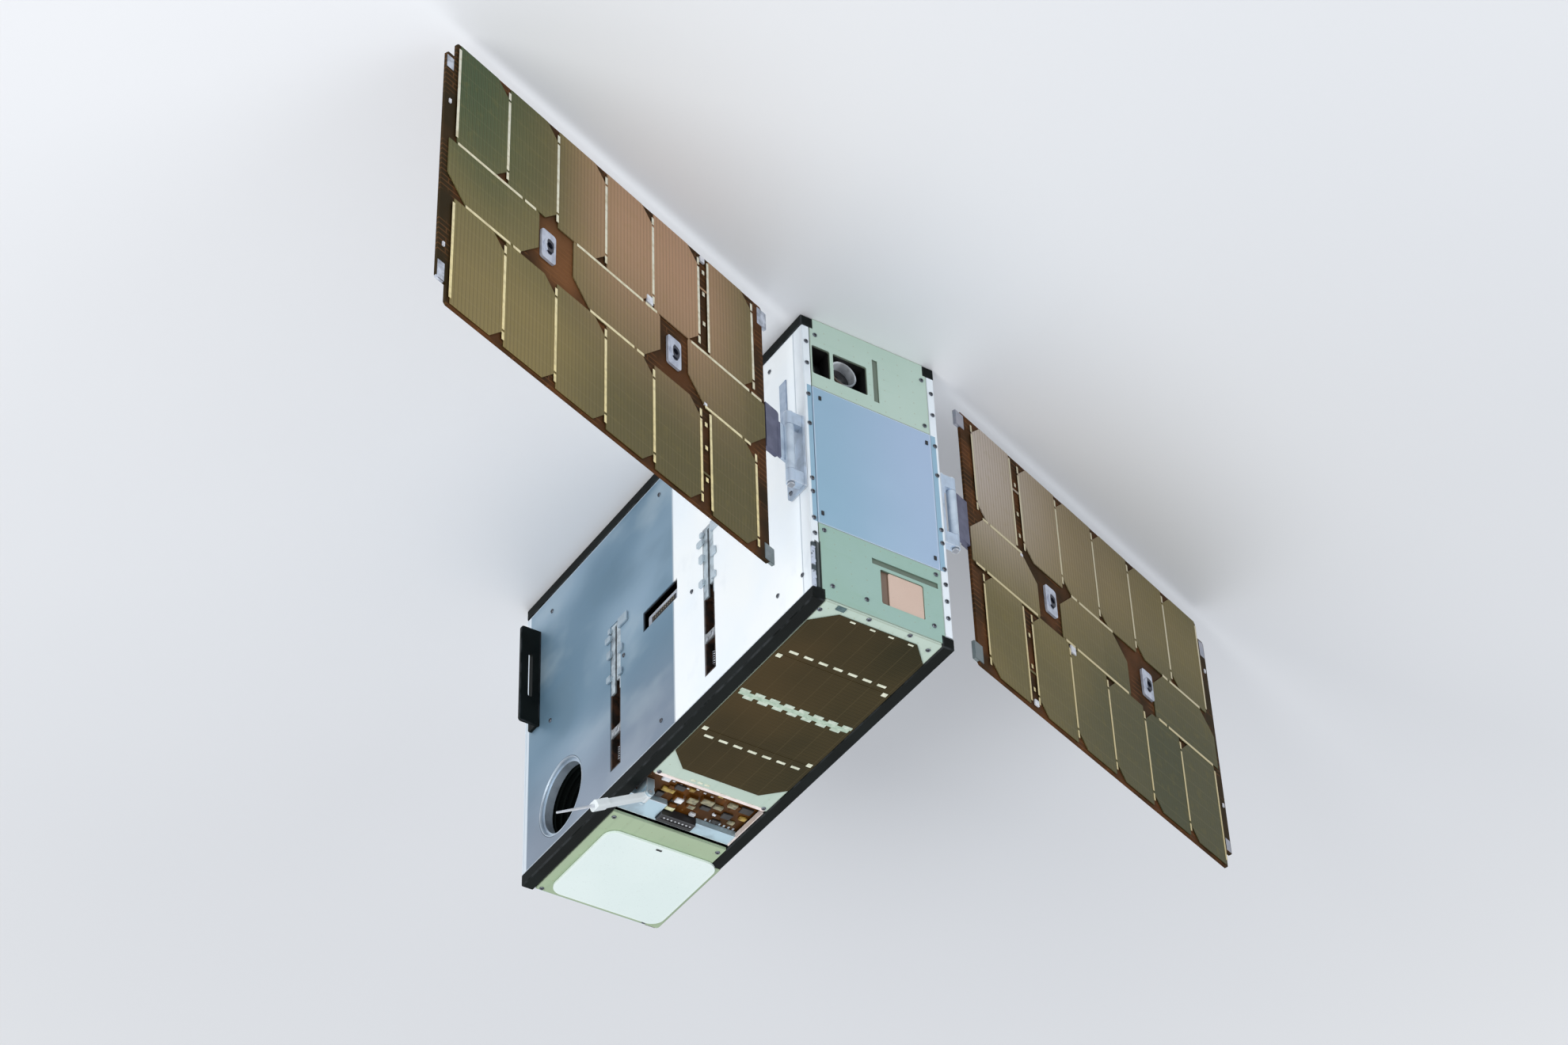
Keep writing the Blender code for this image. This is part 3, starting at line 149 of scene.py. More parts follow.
class Graph:
    """A node tree whose nodes all come from one method."""

    def __init__(self, tree):
        self.tree = tree
        self.tree.nodes.clear()

    def feed(self, socket, value):
        """Link a value's socket, or set a plain number, colour or name."""
        if isinstance(value, Value):
            self.tree.links.new(value.socket, socket)
        elif isinstance(value, bpy.types.NodeSocket):
            self.tree.links.new(value, socket)
        elif socket.type == "RGBA":
            socket.default_value = (*value, 1.0)
        else:
            socket.default_value = value

    def node(self, kind, settings=None, values=None, output=0):
        item = self.tree.nodes.new(kind)
        for key, value in (settings or {}).items():
            setattr(item, key, value)
        for key, value in (values or {}).items():
            self.feed(item.inputs[key], value)
        return Value(self, item.outputs[output]) if item.outputs else None

    def maths(self, operation, *parts):
        return self.node("ShaderNodeMath", {"operation": operation}, dict(enumerate(parts)))

    def seen(self):
        """1 for what the camera sees straight on, by reflection or through glass."""
        seen = self.node("ShaderNodeLightPath", output="Is Camera Ray")
        for kind in ("Is Glossy Ray", "Is Transmission Ray"):
            seen = seen.high(self.node("ShaderNodeLightPath", output=kind))
        return seen


class Paint(Graph):
    """One material, whose nodes are written as expressions."""

    def __init__(self, name):
        self.material = bpy.data.materials.new(name)
        self.material.use_nodes = True
        super().__init__(self.material.node_tree)
        self.shown = self.node("ShaderNodeBsdfPrincipled")
        self.shader = self.shown.socket.node
        self.node("ShaderNodeOutputMaterial", None, {"Surface": self.shown})
        self.point = self.node("ShaderNodeTexCoord", output="Object")
        self.x, self.y, self.z = self.split(self.point)

    def split(self, vector):
        item = self.node("ShaderNodeSeparateXYZ", None, {0: vector}).socket.node
        return [Value(self, output) for output in item.outputs]

    def join(self, x, y, z=0.0):
        return self.node("ShaderNodeCombineXYZ", None, {0: x, 1: y, 2: z})

    def dot(self, vector, direction):
        return self.node(
            "ShaderNodeVectorMath", {"operation": "DOT_PRODUCT"}, {0: vector, 1: tuple(direction)}, "Value",
        )

    def mix(self, mask, first, second):
        return self.node("ShaderNodeMix", {"data_type": "RGBA"}, {0: mask, 6: first, 7: second}, 2)

    def noise(self, scale, detail=2.0, stretch=(1, 1, 1), roughness=0.5):
        """Soft noise over the piece, its scale in blobs per metre."""
        vector = self.point
        if stretch != (1, 1, 1):
            vector = self.node("ShaderNodeMapping", None, {"Vector": self.point, "Scale": stretch})
        return self.node(
            "ShaderNodeTexNoise", None,
            {"Vector": vector, "Scale": scale, "Detail": detail, "Roughness": roughness},
        )

    def traces(self, across, along, scale):
        """Staggered thin lines, as on a circuit board, that come and go."""
        lines = self.node(
            "ShaderNodeTexBrick", {"offset": 0.37, "squash": 1.0},
            {"Vector": self.join(across, along), "Scale": scale, "Mortar Size": 0.028, "Mortar Smooth": 0.1,
             "Brick Width": 1.7, "Row Height": 0.23}, "Fac",
        )
        return lines * self.noise(45, 2).rise(0.46, 0.58)

    def outward(self, side):
        """Distance from a wing's hinge axis toward the wing's outer edge."""
        return self.dot(self.point, wing_out(side)) - wing_hinge(side).dot(wing_out(side))

    def inner_walls(self, box):
        """1 on a side panel's cut walls and hidden back, 0 on its face, where painted shade goes."""
        face = max(abs(box[0].y), abs(box[1].y))
        return abs(self.y).fall(face - 0.0009, face - 0.0004)

    def edges(self, box, width):
        """1 along a box-shaped piece's outer edges, fading over a width."""
        gaps = []
        for value, low, high in zip((self.x, self.y, self.z), *box):
            gaps.append((high - low) / 2 - abs(value - (low + high) / 2))
        first, second, third = gaps
        middle = first.low(second).high(first.high(second).low(third))
        return middle.fall(width * 0.2, width)

    def rim(self, base, box, width, share, display):
        """A base colour with a tint along a box-shaped piece's outer edges."""
        return self.mix(self.edges(box, width) * share, base, tone(*display))

    def finish(self, **values):
        """Set the shader's inputs, given as plain names."""
        for key, value in values.items():
            self.feed(self.shader.inputs[key.replace("_", " ").title().replace("Ior", "IOR")], value)
        return self.material

    def bump(self, height, distance, strength=1.0):
        bumped = self.node(
            "ShaderNodeBump", None, {"Strength": strength, "Distance": distance, "Height": height},
        )
        self.feed(self.shader.inputs["Normal"], bumped)


def wing_hinge(side):
    return JOINT_PLACES["wing_left_hinge" if side > 0 else "wing_right_hinge"]


def wing_out(side):
    """Direction from the hinge axis to the wing's outer edge."""
    return Vector((math.sin(WING_TILT), math.cos(WING_TILT), 0)) * side


def wing_point(side, out, rise, back):
    """A place on a wing; rise counts the same way on both, as the right wing is turned over."""
    place = wing_hinge(side) + wing_out(side) * out + WING_BACK_DIRECTION * back
    return place + Vector((0, 0, side * rise))


def wing_turn(side):
    """Rotation that takes X outward along the wing, Y to its back and Z up."""
    out = wing_out(side)
    return Matrix((out, WING_BACK_DIRECTION, Vector((0, 0, side)))).transposed()


def add_piece(name, mesh, body, materials):
    """Link a finished mesh as a piece that rides on a body."""
    mesh.materials.clear()
    for material in materials:
        mesh.materials.append(material)
    piece = bpy.data.objects.new(name, mesh)
    bpy.context.scene.collection.objects.link(piece)
    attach(piece, body)
    return piece


def mesh_from(name, bm):
    """Turn a bmesh into a mesh with closed, outward faces."""
    bmesh.ops.recalc_face_normals(bm, faces=bm.faces[:])
    mesh = bpy.data.meshes.new(name)
    bm.to_mesh(mesh)
    bm.free()
    mesh.shade_smooth()
    mesh.set_sharp_from_angle(angle=SHARP_ANGLE)
    return mesh


def add_block(bm, centre, size, turn=None):
    """Add a box with softened edges to a bmesh."""
    made = bmesh.ops.create_cube(bm, size=1.0)["verts"]
    bmesh.ops.scale(bm, vec=Vector(size), verts=made)
    around = list({edge for vert in made for edge in vert.link_edges})
    cut = bmesh.ops.bevel(bm, geom=around, offset=SOFT_EDGE, segments=2, affect="EDGES")
    made = {vert for vert in made if vert.is_valid}
    made = list(made | {vert for face in cut["faces"] for vert in face.verts})
    if turn is not None:
        bmesh.ops.rotate(bm, cent=(0, 0, 0), matrix=turn, verts=made)
    bmesh.ops.translate(bm, vec=Vector(centre), verts=made)


class Cloud(Graph):
    """A Geometry Nodes tree that works on a cloud of placed points."""

    def __init__(self, name, inputs):
        super().__init__(bpy.data.node_groups.new(name, "GeometryNodeTree"))
        self.tree.interface.new_socket("Geometry", in_out="INPUT", socket_type="NodeSocketGeometry")
        for label, kind, default in inputs:
            socket = self.tree.interface.new_socket(label, in_out="INPUT", socket_type=kind)
            socket.default_value = default
        self.tree.interface.new_socket("Material", in_out="INPUT", socket_type="NodeSocketMaterial")
        self.tree.interface.new_socket("Geometry", in_out="OUTPUT", socket_type="NodeSocketGeometry")
        self.start = self.node("NodeGroupInput").socket.node.outputs

    def attribute(self, name):
        return self.node("GeometryNodeInputNamedAttribute", {"data_type": "FLOAT_VECTOR"}, {"Name": name})

    def place(self, instance, scale=None):
        """Put an instance on each point, turned by the point's own rotation."""
        rotation = self.node("FunctionNodeEulerToRotation", None, {0: self.attribute("turn")})
        values = {"Points": self.start["Geometry"], "Instance": instance, "Rotation": rotation}
        if scale is not None:
            values["Scale"] = scale
        return self.node("GeometryNodeInstanceOnPoints", None, values)

    def close(self, geometry):
        real = self.node("GeometryNodeRealizeInstances", None, {0: geometry})
        painted = self.node(
            "GeometryNodeSetMaterial", None, {"Geometry": real, "Material": self.start["Material"]},
        )
        self.node("NodeGroupOutput", None, {0: painted})
        return self.tree


def bar_tree():
    """Plain boxes of each point's own size."""
    tree = Cloud("Bars", [])
    cube = tree.node("GeometryNodeMeshCube", None, {"Size": (1, 1, 1)})
    return tree.close(tree.place(cube, tree.attribute("size")))


def screw_tree():
    """Low round heads with a chamfer, standing along each point's Z."""
    tree = Cloud("Screw heads", [
        ("Radius", "NodeSocketFloat", 0.0015), ("Height", "NodeSocketFloat", 0.0005),
        ("Sides", "NodeSocketInt", 20),
    ])
    radius = tree.start["Radius"]
    cone = tree.node("GeometryNodeMeshCone", None, {
        "Vertices": tree.start["Sides"], "Radius Top": tree.maths("MULTIPLY", radius, 0.82),
        "Radius Bottom": radius, "Depth": tree.start["Height"],
    })
    return tree.close(tree.place(cone))


def helix_tree():
    """Wire wound round each point's Z axis."""
    tree = Cloud("Coils", [
        ("Turns", "NodeSocketFloat", 5.0), ("Radius", "NodeSocketFloat", 0.003),
        ("Height", "NodeSocketFloat", 0.006), ("Wire", "NodeSocketFloat", 0.0004),
    ])
    spiral = tree.node("GeometryNodeCurveSpiral", None, {
        "Resolution": 20, "Rotations": tree.start["Turns"], "Start Radius": tree.start["Radius"],
        "End Radius": tree.start["Radius"], "Height": tree.start["Height"],
    })
    ring = tree.node("GeometryNodeCurvePrimitiveCircle", None, {
        "Resolution": 8, "Radius": tree.start["Wire"],
    })
    wire = tree.node("GeometryNodeCurveToMesh", None, {
        "Curve": spiral, "Profile Curve": ring, "Fill Caps": True,
    })
    return tree.close(tree.place(wire))


def grow(name, tree, points, body, slot, material, **inputs):
    """Run a tree on points of (place, turn, size) and keep its result as a plain piece."""
    seed = bpy.data.meshes.new(name + "_seed")
    seed.from_pydata([tuple(point[0]) for point in points], [], [])
    for label, column in (("turn", 1), ("size", 2)):
        data = seed.attributes.new(label, "FLOAT_VECTOR", "POINT")
        flat = [number for point in points for number in point[column]]
        data.data.foreach_set("vector", flat)
    holder = bpy.data.objects.new(name + "_seed", seed)
    bpy.context.scene.collection.objects.link(holder)
    modifier = holder.modifiers.new("Geometry", "NODES")
    modifier.node_group = tree
    inputs["Material"] = material
    for item in tree.interface.items_tree:
        if item.in_out == "INPUT" and item.name in inputs:
            modifier[item.identifier] = inputs[item.name]
    evaluated = holder.evaluated_get(bpy.context.evaluated_depsgraph_get())
    mesh = bpy.data.meshes.new_from_object(evaluated)
    holder.modifiers.remove(modifier)
    bpy.data.objects.remove(holder)
    mesh.name = name
    for attribute in ("turn", "size"):
        if attribute in mesh.attributes:
            mesh.attributes.remove(mesh.attributes[attribute])
    mesh.shade_smooth()
    mesh.set_sharp_from_angle(angle=SHARP_ANGLE)
    return add_piece(name, mesh, body, [material])


UP = (0.0, 0.0, 0.0)
FACING = {
    "+X": (0.0, math.pi / 2, 0.0),
    "-X": (0.0, -math.pi / 2, 0.0),
    "+Y": (-math.pi / 2, 0.0, 0.0),
    "-Y": (math.pi / 2, 0.0, 0.0),
    "+Z": UP,
}
ONE = (1.0, 1.0, 1.0)
LATCH_SHADE = tone(22, 38, 34)
# dark brown painted shade for the side panels' cut walls
WALL_SHADE_BROWN = tone(40, 32, 28)


# Finishes


def paint_black(name, box, settings, wear_width):
    """Black anodised metal, a little greyer where its edges have rubbed."""
    paint = Paint(name)
    wear = paint.edges(box, wear_width) * paint.noise(90, 4).rise(0.35, 0.62)
    cloud = paint.noise(35, 3)
    base = paint.mix(cloud.rise(0.3, 0.75), settings.black, tone(20, 25, 24))
    base = paint.mix(wear * 0.4, base, tone(84, 88, 92))
    scratches = paint.noise(60, 2, (2, 40, 40)).rise(0.62, 0.7)
    paint.bump(paint.noise(1500, 2) * 0.4 + scratches * 0.6, 0.00003)
    return paint.finish(
        base_color=base, roughness=0.42 + cloud * 0.22 - wear * 0.1, metallic=wear * 0.3,
        specular_ior_level=0.08,
    )


def paint_white(name, box, settings, side_panel=False):
    """White thermal paint with a fine orange peel and faint handling marks."""
    paint = Paint(name)
    cloud = paint.noise(14, 3)
    smudge = paint.noise(55, 5, (1, 1, 0.6)).rise(0.58, 0.74)
    base = paint.mix(cloud.rise(0.3, 0.72), settings.white, tone(238, 247, 254))
    base = paint.mix(smudge * 0.14, base, tone(196, 206, 218))
    base = paint.rim(base, box, 0.0012, 0.45, (176, 188, 202))
    if side_panel:
        # painted shade: the cut walls of the slots and aperture are painted dark brown
        base = paint.mix(paint.inner_walls(box) * 0.9, base, WALL_SHADE_BROWN)
    paint.bump(paint.noise(900, 3), 0.00004, 0.8)
    return paint.finish(base_color=base, roughness=0.4 + smudge * 0.15)


def paint_satin(name, box, settings, side_panel=False):
    """Bead-blasted blue-grey aluminium, its colour clouded with painted reflection."""
    paint = Paint(name)
    cloud = paint.noise(6.5, 2, (1, 1, 1.5), 0.45)
    patch = paint.noise(15, 3, (0.8, 1.0, 1.3))
    # painted reflection: the dark and light clouds and patches stand for what the panel reflects
    base = paint.mix(cloud.rise(0.34, 0.66), settings.satin_dark, settings.satin_light)
    base = paint.mix(patch.rise(0.5, 0.72) * 0.5, base, tone(176, 194, 204))
    base = paint.mix(patch.fall(0.3, 0.46) * 0.3, base, tone(92, 120, 136))
    upper = paint.z.rise(0.125, 0.21) * (0.25 + cloud * 0.35)
    base = paint.mix(upper, base, tone(150, 146, 158))
    # painted highlight along the panel's edges, strongest along its far edge
    far_edge_highlight = paint.x.fall(box[0].x + 0.0026, box[0].x + 0.0040)
    bright = paint.edges(box, 0.0011) * 0.5
    base = paint.mix(bright.high(far_edge_highlight * 0.9), base, tone(230, 240, 248))
    if side_panel:
        # painted shade: the cut walls of the slots and aperture are painted dark brown
        base = paint.mix(paint.inner_walls(box) * 0.9, base, WALL_SHADE_BROWN)
    grain = paint.noise(420, 3, (0.25, 1, 3))
    paint.bump(grain, 0.00003, 0.7)
    return paint.finish(base_color=base, metallic=0.35, roughness=0.36 + cloud * 0.16 + grain * 0.08)


def paint_metal(name, box, display, grain_stretch=(1, 1, 6), shine=0.36):
    """Machined light metal with fine tool marks and a painted highlight along its edges."""
    paint = Paint(name)
    marks = paint.noise(300, 3, grain_stretch)
    stain = paint.noise(70, 4)
    base = paint.mix(stain.rise(0.42, 0.7) * 0.5, tone(*display), tone(120, 128, 140))
    # painted highlight along the edges
    base = paint.rim(base, box, 0.0008, 0.6, (232, 236, 240))
    paint.bump(marks, 0.00003, 0.8)
    return paint.finish(base_color=base, metallic=0.6, roughness=shine + marks * 0.18)


def paint_post(name, box, settings, latched):
    """White corner post; its end face is blue where the centre plate's paint laps over it.

    A latched post is dark beside the latch that is let into its upper part.
    """
    paint = Paint(name)
    stain = paint.noise(90, 3, (1, 1, 0.4))
    base = paint.mix(stain.rise(0.5, 0.75) * 0.3, tone(232, 240, 246), tone(186, 198, 212))
    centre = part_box("near_plate_centre")
    lap = paint.x.rise(box[1].x - 0.0008, box[1].x - 0.0004) * abs(paint.y).fall(0.0474, 0.0478)
    lap = lap * paint.z.rise(centre[0].z, centre[0].z + 0.0003)
    lap = lap * paint.z.fall(centre[1].z - 0.0003, centre[1].z)
    base = paint.mix(lap, base, settings.plate_low)
    base = paint.rim(base, box, 0.0006, 0.5, (170, 182, 196))
    if latched:
        beside = paint.x.rise(box[1].x - 0.0016, box[1].x - 0.0012)
        beside = beside * paint.z.rise(LATCH_START, LATCH_START + 0.0008)
        beside = beside * (paint.y - 0.0440 + (paint.z - LATCH_START) * 2).rise(0.0030, 0.0036)
        beside = beside * paint.y.fall(0.0472, 0.0476)
        base = paint.mix(beside * (0.85 + stain * 0.2), base, LATCH_SHADE)
    paint.bump(paint.noise(900, 2), 0.00003, 0.7)
    return paint.finish(base_color=base, roughness=0.4 + stain * 0.15)


def paint_latch(name, box):
    """Dark latch plate with bright worn lobes along its outer half."""
    paint = Paint(name)
    lobes = paint.z.near(0.1943, 0.0062, 0.0012).high(paint.z.near(0.2117, 0.0056, 0.0012))
    lobes = lobes * paint.y.rise(0.0466, 0.0473)
    rub = paint.noise(400, 4)
    base = paint.mix(rub.rise(0.45, 0.7) * 0.5, tone(44, 58, 64), tone(80, 94, 100))
    base = paint.mix(lobes * rub.rise(0.25, 0.45), base, tone(188, 198, 214))
    paint.bump(rub, 0.0001, 0.8)
    return paint.finish(base_color=base, roughness=0.38 + rub * 0.2)


def paint_board(name, box, display, trace_display, plane, gloss=0.42, sheen=0.5):
    """Circuit board under solder mask, with faint copper lines and vias."""
    paint = Paint(name)
    across, along = {"x": (paint.y, paint.z), "z": (paint.x, paint.y)}[plane]
    lines = paint.traces(across, along, 26)
    aside = paint.maths("PINGPONG", across, 0.0055)
    ahead = paint.maths("PINGPONG", along, 0.0045)
    dots = (aside * aside + ahead * ahead).fall(0.0000001, 0.0000003)
    cloud = paint.noise(22, 3)
    mottled = paint.noise(420, 2)
    base = paint.mix(cloud.rise(0.3, 0.7) * 0.35, tone(*display), tone(*trace_display))
    base = paint.mix(lines * 0.22, base, tone(*trace_display))
    base = paint.mix(dots * 0.4, base, tone(150, 140, 104))
    base = paint.rim(base, box, 0.0009, 0.5, (150, 160, 140))
    if plane == "x":
        # painted shade makes the floors of the plates' milled grooves darker than their faces
        groove_shade = paint.x.fall(box[1].x - 0.0006, box[1].x - 0.0003)
        base = paint.mix(groove_shade * 0.85, base, tone(84, 92, 76))
        # the plate is dark beside the corner latch
        beside = paint.y.rise(0.0429, 0.0434) * paint.z.rise(LATCH_START - 0.0003, LATCH_START + 0.0005)
        base = paint.mix(beside * 0.92, base, LATCH_SHADE)
    paint.bump(lines * 0.5 + mottled * 0.3, 0.00003, 0.6)
    return paint.finish(base_color=base, roughness=gloss + mottled * 0.12, specular_ior_level=sheen)


def paint_centre_plate(name, box, settings):
    """Painted end plate that shades from pale blue to lavender across its width."""
    paint = Paint(name)
    cloud = paint.noise(16, 3)
    across = paint.y.fall(box[0].y, box[1].y) * 0.8 + paint.z.fall(box[0].z, box[1].z) * 0.2
    base = paint.mix(across, settings.plate_low, settings.plate_high)
    base = paint.mix(cloud.rise(0.4, 0.7) * 0.18, base, tone(176, 202, 224))
    # painted highlight along the plate's edges
    base = paint.rim(base, box, 0.001, 0.4, (226, 232, 244))
    paint.bump(paint.noise(1100, 2), 0.00003, 0.6)
    return paint.finish(base_color=base, roughness=0.4 + cloud * 0.1, metallic=0.15)


def paint_tile(name, box, display, second):
    """Matte fired ceramic with a faint speckle and paler borders."""
    paint = Paint(name)
    cloud = paint.noise(18, 3)
    speck = paint.noise(900, 2).rise(0.62, 0.72)
    base = paint.mix(cloud.rise(0.32, 0.7) * 0.3, tone(*display), tone(*second))
    base = paint.mix(speck * 0.12, base, tone(150, 158, 150))
    base = paint.rim(base, box, 0.0022, 0.35, (240, 250, 246))
    paint.bump(paint.noise(700, 3), 0.00003, 0.7)
    return paint.finish(base_color=base, roughness=0.38 + cloud * 0.12)


def paint_near_tile(name, box):
    """Peach tile whose low step lies in brown shadow."""
    paint = Paint(name)
    cloud = paint.noise(24, 3)
    speck = paint.noise(900, 2).rise(0.62, 0.72)
    base = paint.mix(cloud.rise(0.32, 0.7) * 0.5, tone(208, 182, 166), tone(222, 200, 184))
    base = paint.mix(speck * 0.12, base, tone(170, 150, 132))
    low_step = paint.x.fall(box[1].x - 0.0008, box[1].x - 0.0002)
    base = paint.mix(low_step * (0.7 + cloud * 0.3), base, tone(92, 70, 52))
    paint.bump(paint.noise(700, 3), 0.00003, 0.7)
    return paint.finish(base_color=base, roughness=0.42 + cloud * 0.12)


def paint_release(name, box, lug_display):
    """Bright machined bars over an open channel painted dark as shade, with lugs in the panel's tone."""
    paint = Paint(name)
    face = box[1].y if box[1].y > 0 else -box[0].y
    marks = paint.noise(300, 3, (6, 1, 1))
    stain = paint.noise(160, 4)
    bars = paint.mix(stain.rise(0.42, 0.66) * 0.6, tone(190, 204, 212), tone(112, 120, 128))
    crossbar = paint.z.near(0.177, 0.0036, 0.0003)
    bars = paint.mix(crossbar * (0.35 + stain * 0.6), bars, tone(112, 106, 104))
    # painted shade: the channel's deep surfaces and its open end take this near-black brown
    floor = paint.mix(stain.rise(0.4, 0.62), tone(18, 13, 9), tone(60, 36, 20))
    lugs = abs(paint.y).rise(face - 0.0014, face - 0.0009)
    bars = paint.mix(lugs * 0.6, bars, tone(*lug_display))
    open_end = paint.z.rise(0.1462, 0.1467) * (1 - crossbar)
    deep_shade = abs(paint.y).fall(face - 0.0034, face - 0.0022).high(open_end)
    base = paint.mix(deep_shade, bars, floor)
    paint.bump(marks, 0.00003, 0.8)
    roughness = 0.3 + marks * 0.2 + deep_shade * 0.2
    return paint.finish(base_color=base, metallic=0.45 * (1 - deep_shade), roughness=roughness)


def paint_leaf(name, side, box):
    """Hinge leaf: dull violet plate with a bright barrel about the pin."""
    paint = Paint(name)
    hinge = wing_hinge(side)
    away = paint.join(paint.x - hinge.x, paint.y - hinge.y)
    reach = paint.node("ShaderNodeVectorMath", {"operation": "LENGTH"}, {0: away}, "Value")
    stain = paint.noise(120, 3)
    plate = paint.mix(stain.rise(0.4, 0.7) * 0.6, tone(84, 86, 110), tone(112, 114, 136))
    barrel = paint.mix(stain.rise(0.4, 0.7) * 0.5, tone(196, 210, 224), tone(150, 168, 188))
    base = paint.mix(reach.fall(0.0062, 0.0068), plate, barrel)
    # painted highlight along the leaf's edges
    base = paint.rim(base, box, 0.0006, 0.4, (206, 212, 224))
    paint.bump(paint.noise(420, 3, (1, 1, 5)), 0.00003, 0.8)
    return paint.finish(base_color=base, metallic=0.3, roughness=0.34 + stain * 0.16)


def paint_clamp(name, side, box):
    """Silver clamp plate, dark round its collar and bright along its rim."""
    paint = Paint(name)
    hinge = wing_hinge(side)
    out = paint.outward(side)
    low = min((corner - hinge).dot(wing_out(side)) for corner in box)
    high = max((corner - hinge).dot(wing_out(side)) for corner in box)
    off = (out - (low + high) / 2) / 0.0034
    rise = (paint.z - hinge.z) / 0.0068
    ragged = paint.noise(260, 3) * 0.8
    inner = (off * off + rise * rise + ragged).fall(1.1, 1.35)
    stain = paint.noise(180, 3)
    base = paint.mix(stain.rise(0.4, 0.7) * 0.5, tone(196, 202, 216), tone(140, 146, 164))
    base = paint.mix(inner, base, tone(26, 28, 44))
    paint.bump(paint.noise(500, 2), 0.00003, 0.8)
    return paint.finish(base_color=base, metallic=0.35 * (1 - inner), roughness=0.32 + stain * 0.2)


def paint_hood(name, box):
    """Hood ring lit white on one side, dull grey opposite and brown in its shaded corner."""
    paint = Paint(name)
    stain = paint.noise(260, 3)
    middle = (box[0] + box[1]) / 2
    across = paint.y.rise(middle.y - 0.002, middle.y + 0.003)
    lower = paint.z.fall(middle.z - 0.001, middle.z + 0.004)
    base = paint.mix(across, tone(132, 138, 144), tone(92, 74, 60))
    base = paint.mix(lower * (0.35 + across * 0.65), base, tone(236, 240, 246))
    base = paint.mix(stain.rise(0.5, 0.7) * 0.4, base, tone(90, 92, 98))
    paint.bump(paint.noise(900, 2), 0.00003, 0.7)
    return paint.finish(base_color=base, roughness=0.36 + stain * 0.16, metallic=0.1)


def paint_plastic(name, box, display):
    """Grained black plastic with edges that catch the light."""
    paint = Paint(name)
    grain = paint.noise(1200, 2)
    base = paint.rim(tone(*display), box, 0.0006, 0.5, (96, 98, 102))
    paint.bump(grain, 0.00003, 0.7)
    return paint.finish(base_color=base, roughness=0.42 + grain * 0.2)


def paint_glass(name, display, tint):
    """Coated lens glass: black, with a faint coloured bloom."""
    paint = Paint(name)
    bloom = paint.noise(60, 1)
    base = paint.mix(bloom.rise(0.35, 0.7), tone(*display), tone(*tint))
    return paint.finish(base_color=base, roughness=0.06 + bloom * 0.05, coat_weight=0.6)


def paint_wing_board(name, side, settings):
    """Rust-brown laminate of a wing, dark along its outer edge, with copper lines."""
    paint = Paint(name)
    out = paint.outward(side)
    rise = paint.z - wing_hinge(side).z
    cloud = paint.noise(38, 4)
    fibre = paint.noise(500, 2, (1, 1, 4))
    lines = paint.traces(out, paint.z, 60)
    base = paint.mix(cloud.rise(0.34, 0.68), settings.board_dark, settings.board_light)
    if side > 0:
        # the laminate is warmer around the outer clamp
        warm = abs(out - 0.2095).fall(0.006, 0.028) * abs(rise).fall(0.012, 0.034)
        base = paint.mix(warm * 0.55, base, tone(140, 94, 58))
        # and darker along its hinge edge, toward the top
        dark = out.fall(0.022, 0.036) * rise.rise(-0.01, 0.07)
        base = paint.mix(dark * 0.6, base, tone(32, 27, 12))
    edge_strip = out.rise(0.2965, 0.2985)
    base = paint.mix(edge_strip * 0.8, base, tone(46, 38, 20))
    base = paint.mix(lines * 0.3, base, tone(140, 92, 54))
    base = paint.mix(fibre.rise(0.6, 0.75) * 0.2, base, tone(44, 28, 16))
    paint.bump(lines * 0.5 + fibre * 0.3, 0.00003, 0.7)
    return paint.finish(base_color=base, roughness=0.45 + fibre * 0.2, specular_ior_level=0.05)


def paint_wing_cells(name, side, settings):
    """Solar cells under cover glass: fine grid fingers over shifting olive, green and rose."""
    paint = Paint(name)
    hinge = wing_hinge(side)
    out = paint.outward(side)
    rise = (paint.z - hinge.z) * side
    drift = paint.noise(8, 2)
    column = paint.maths("FLOOR", (out - 0.0839) / 0.0428)
    row = rise.rise(-0.0216, -0.0214) + rise.rise(0.0214, 0.0216)
    shade = paint.node(
        "ShaderNodeTexWhiteNoise", {"noise_dimensions": "2D"}, {"Vector": paint.join(column, row + side)},
    )
    base = paint.mix(drift.rise(0.35, 0.65), settings.cell_olive, settings.cell_gold)
    low_edge = (paint.z - hinge.z).fall(-0.08, 0.075 if side > 0 else 0.045)
    high_edge = 1 - low_edge
    if side > 0:
        base = paint.mix(high_edge * out.fall(0.05, 0.27) * 0.9, base, settings.cell_shade)
        base = paint.mix(high_edge * out.rise(0.15, 0.28) * 0.6, base, tone(136, 121, 78))
        middle = abs(out - 0.122).fall(0.025, 0.105)
        base = paint.mix(low_edge * middle * 0.95, base, settings.cell_rose)
        base = paint.mix(low_edge * out.rise(0.185, 0.285), base, settings.cell_green)
    else:
        base = paint.mix(out.rise(0.06, 0.29) * (0.85 - low_edge * 0.45), base, settings.cell_dusk)
        base = paint.mix(low_edge * out.fall(0.1, 0.3) * 0.7, base, tone(146, 128, 104))
        base = paint.mix(low_edge * out.fall(0.02, 0.15) * 0.95, base, settings.cell_blush)
        base = paint.mix(high_edge * out.rise(0.03, 0.24) * 0.75, base, tone(54, 62, 42))
    base = paint.mix(shade.rise(0.0, 1.0) * 0.09, base, tone(146, 130, 92))
    fingers = out.lines(0.0030, 0.0007)
    fine = out.lines(0.0010, 0.0003)
    bus = paint.maths("PINGPONG", rise + 0.0021, 0.0065).fall(0.00012, 0.0003)
    base = paint.mix(fingers * 0.3, base, tone(60, 52, 30))
    base = paint.mix(fine * 0.14, base, tone(184, 168, 124))
    base = paint.mix(bus * 0.1, base, tone(184, 168, 124))
    sparkle = paint.noise(160, 4)
    base = paint.mix(sparkle.rise(0.52, 0.72) * 0.12, base, tone(140, 126, 72))
    paint.bump(fingers + fine, 0.00002, 0.5)
    return paint.finish(base_color=base, roughness=0.32 + sparkle * 0.16, specular_ior_level=0.08)


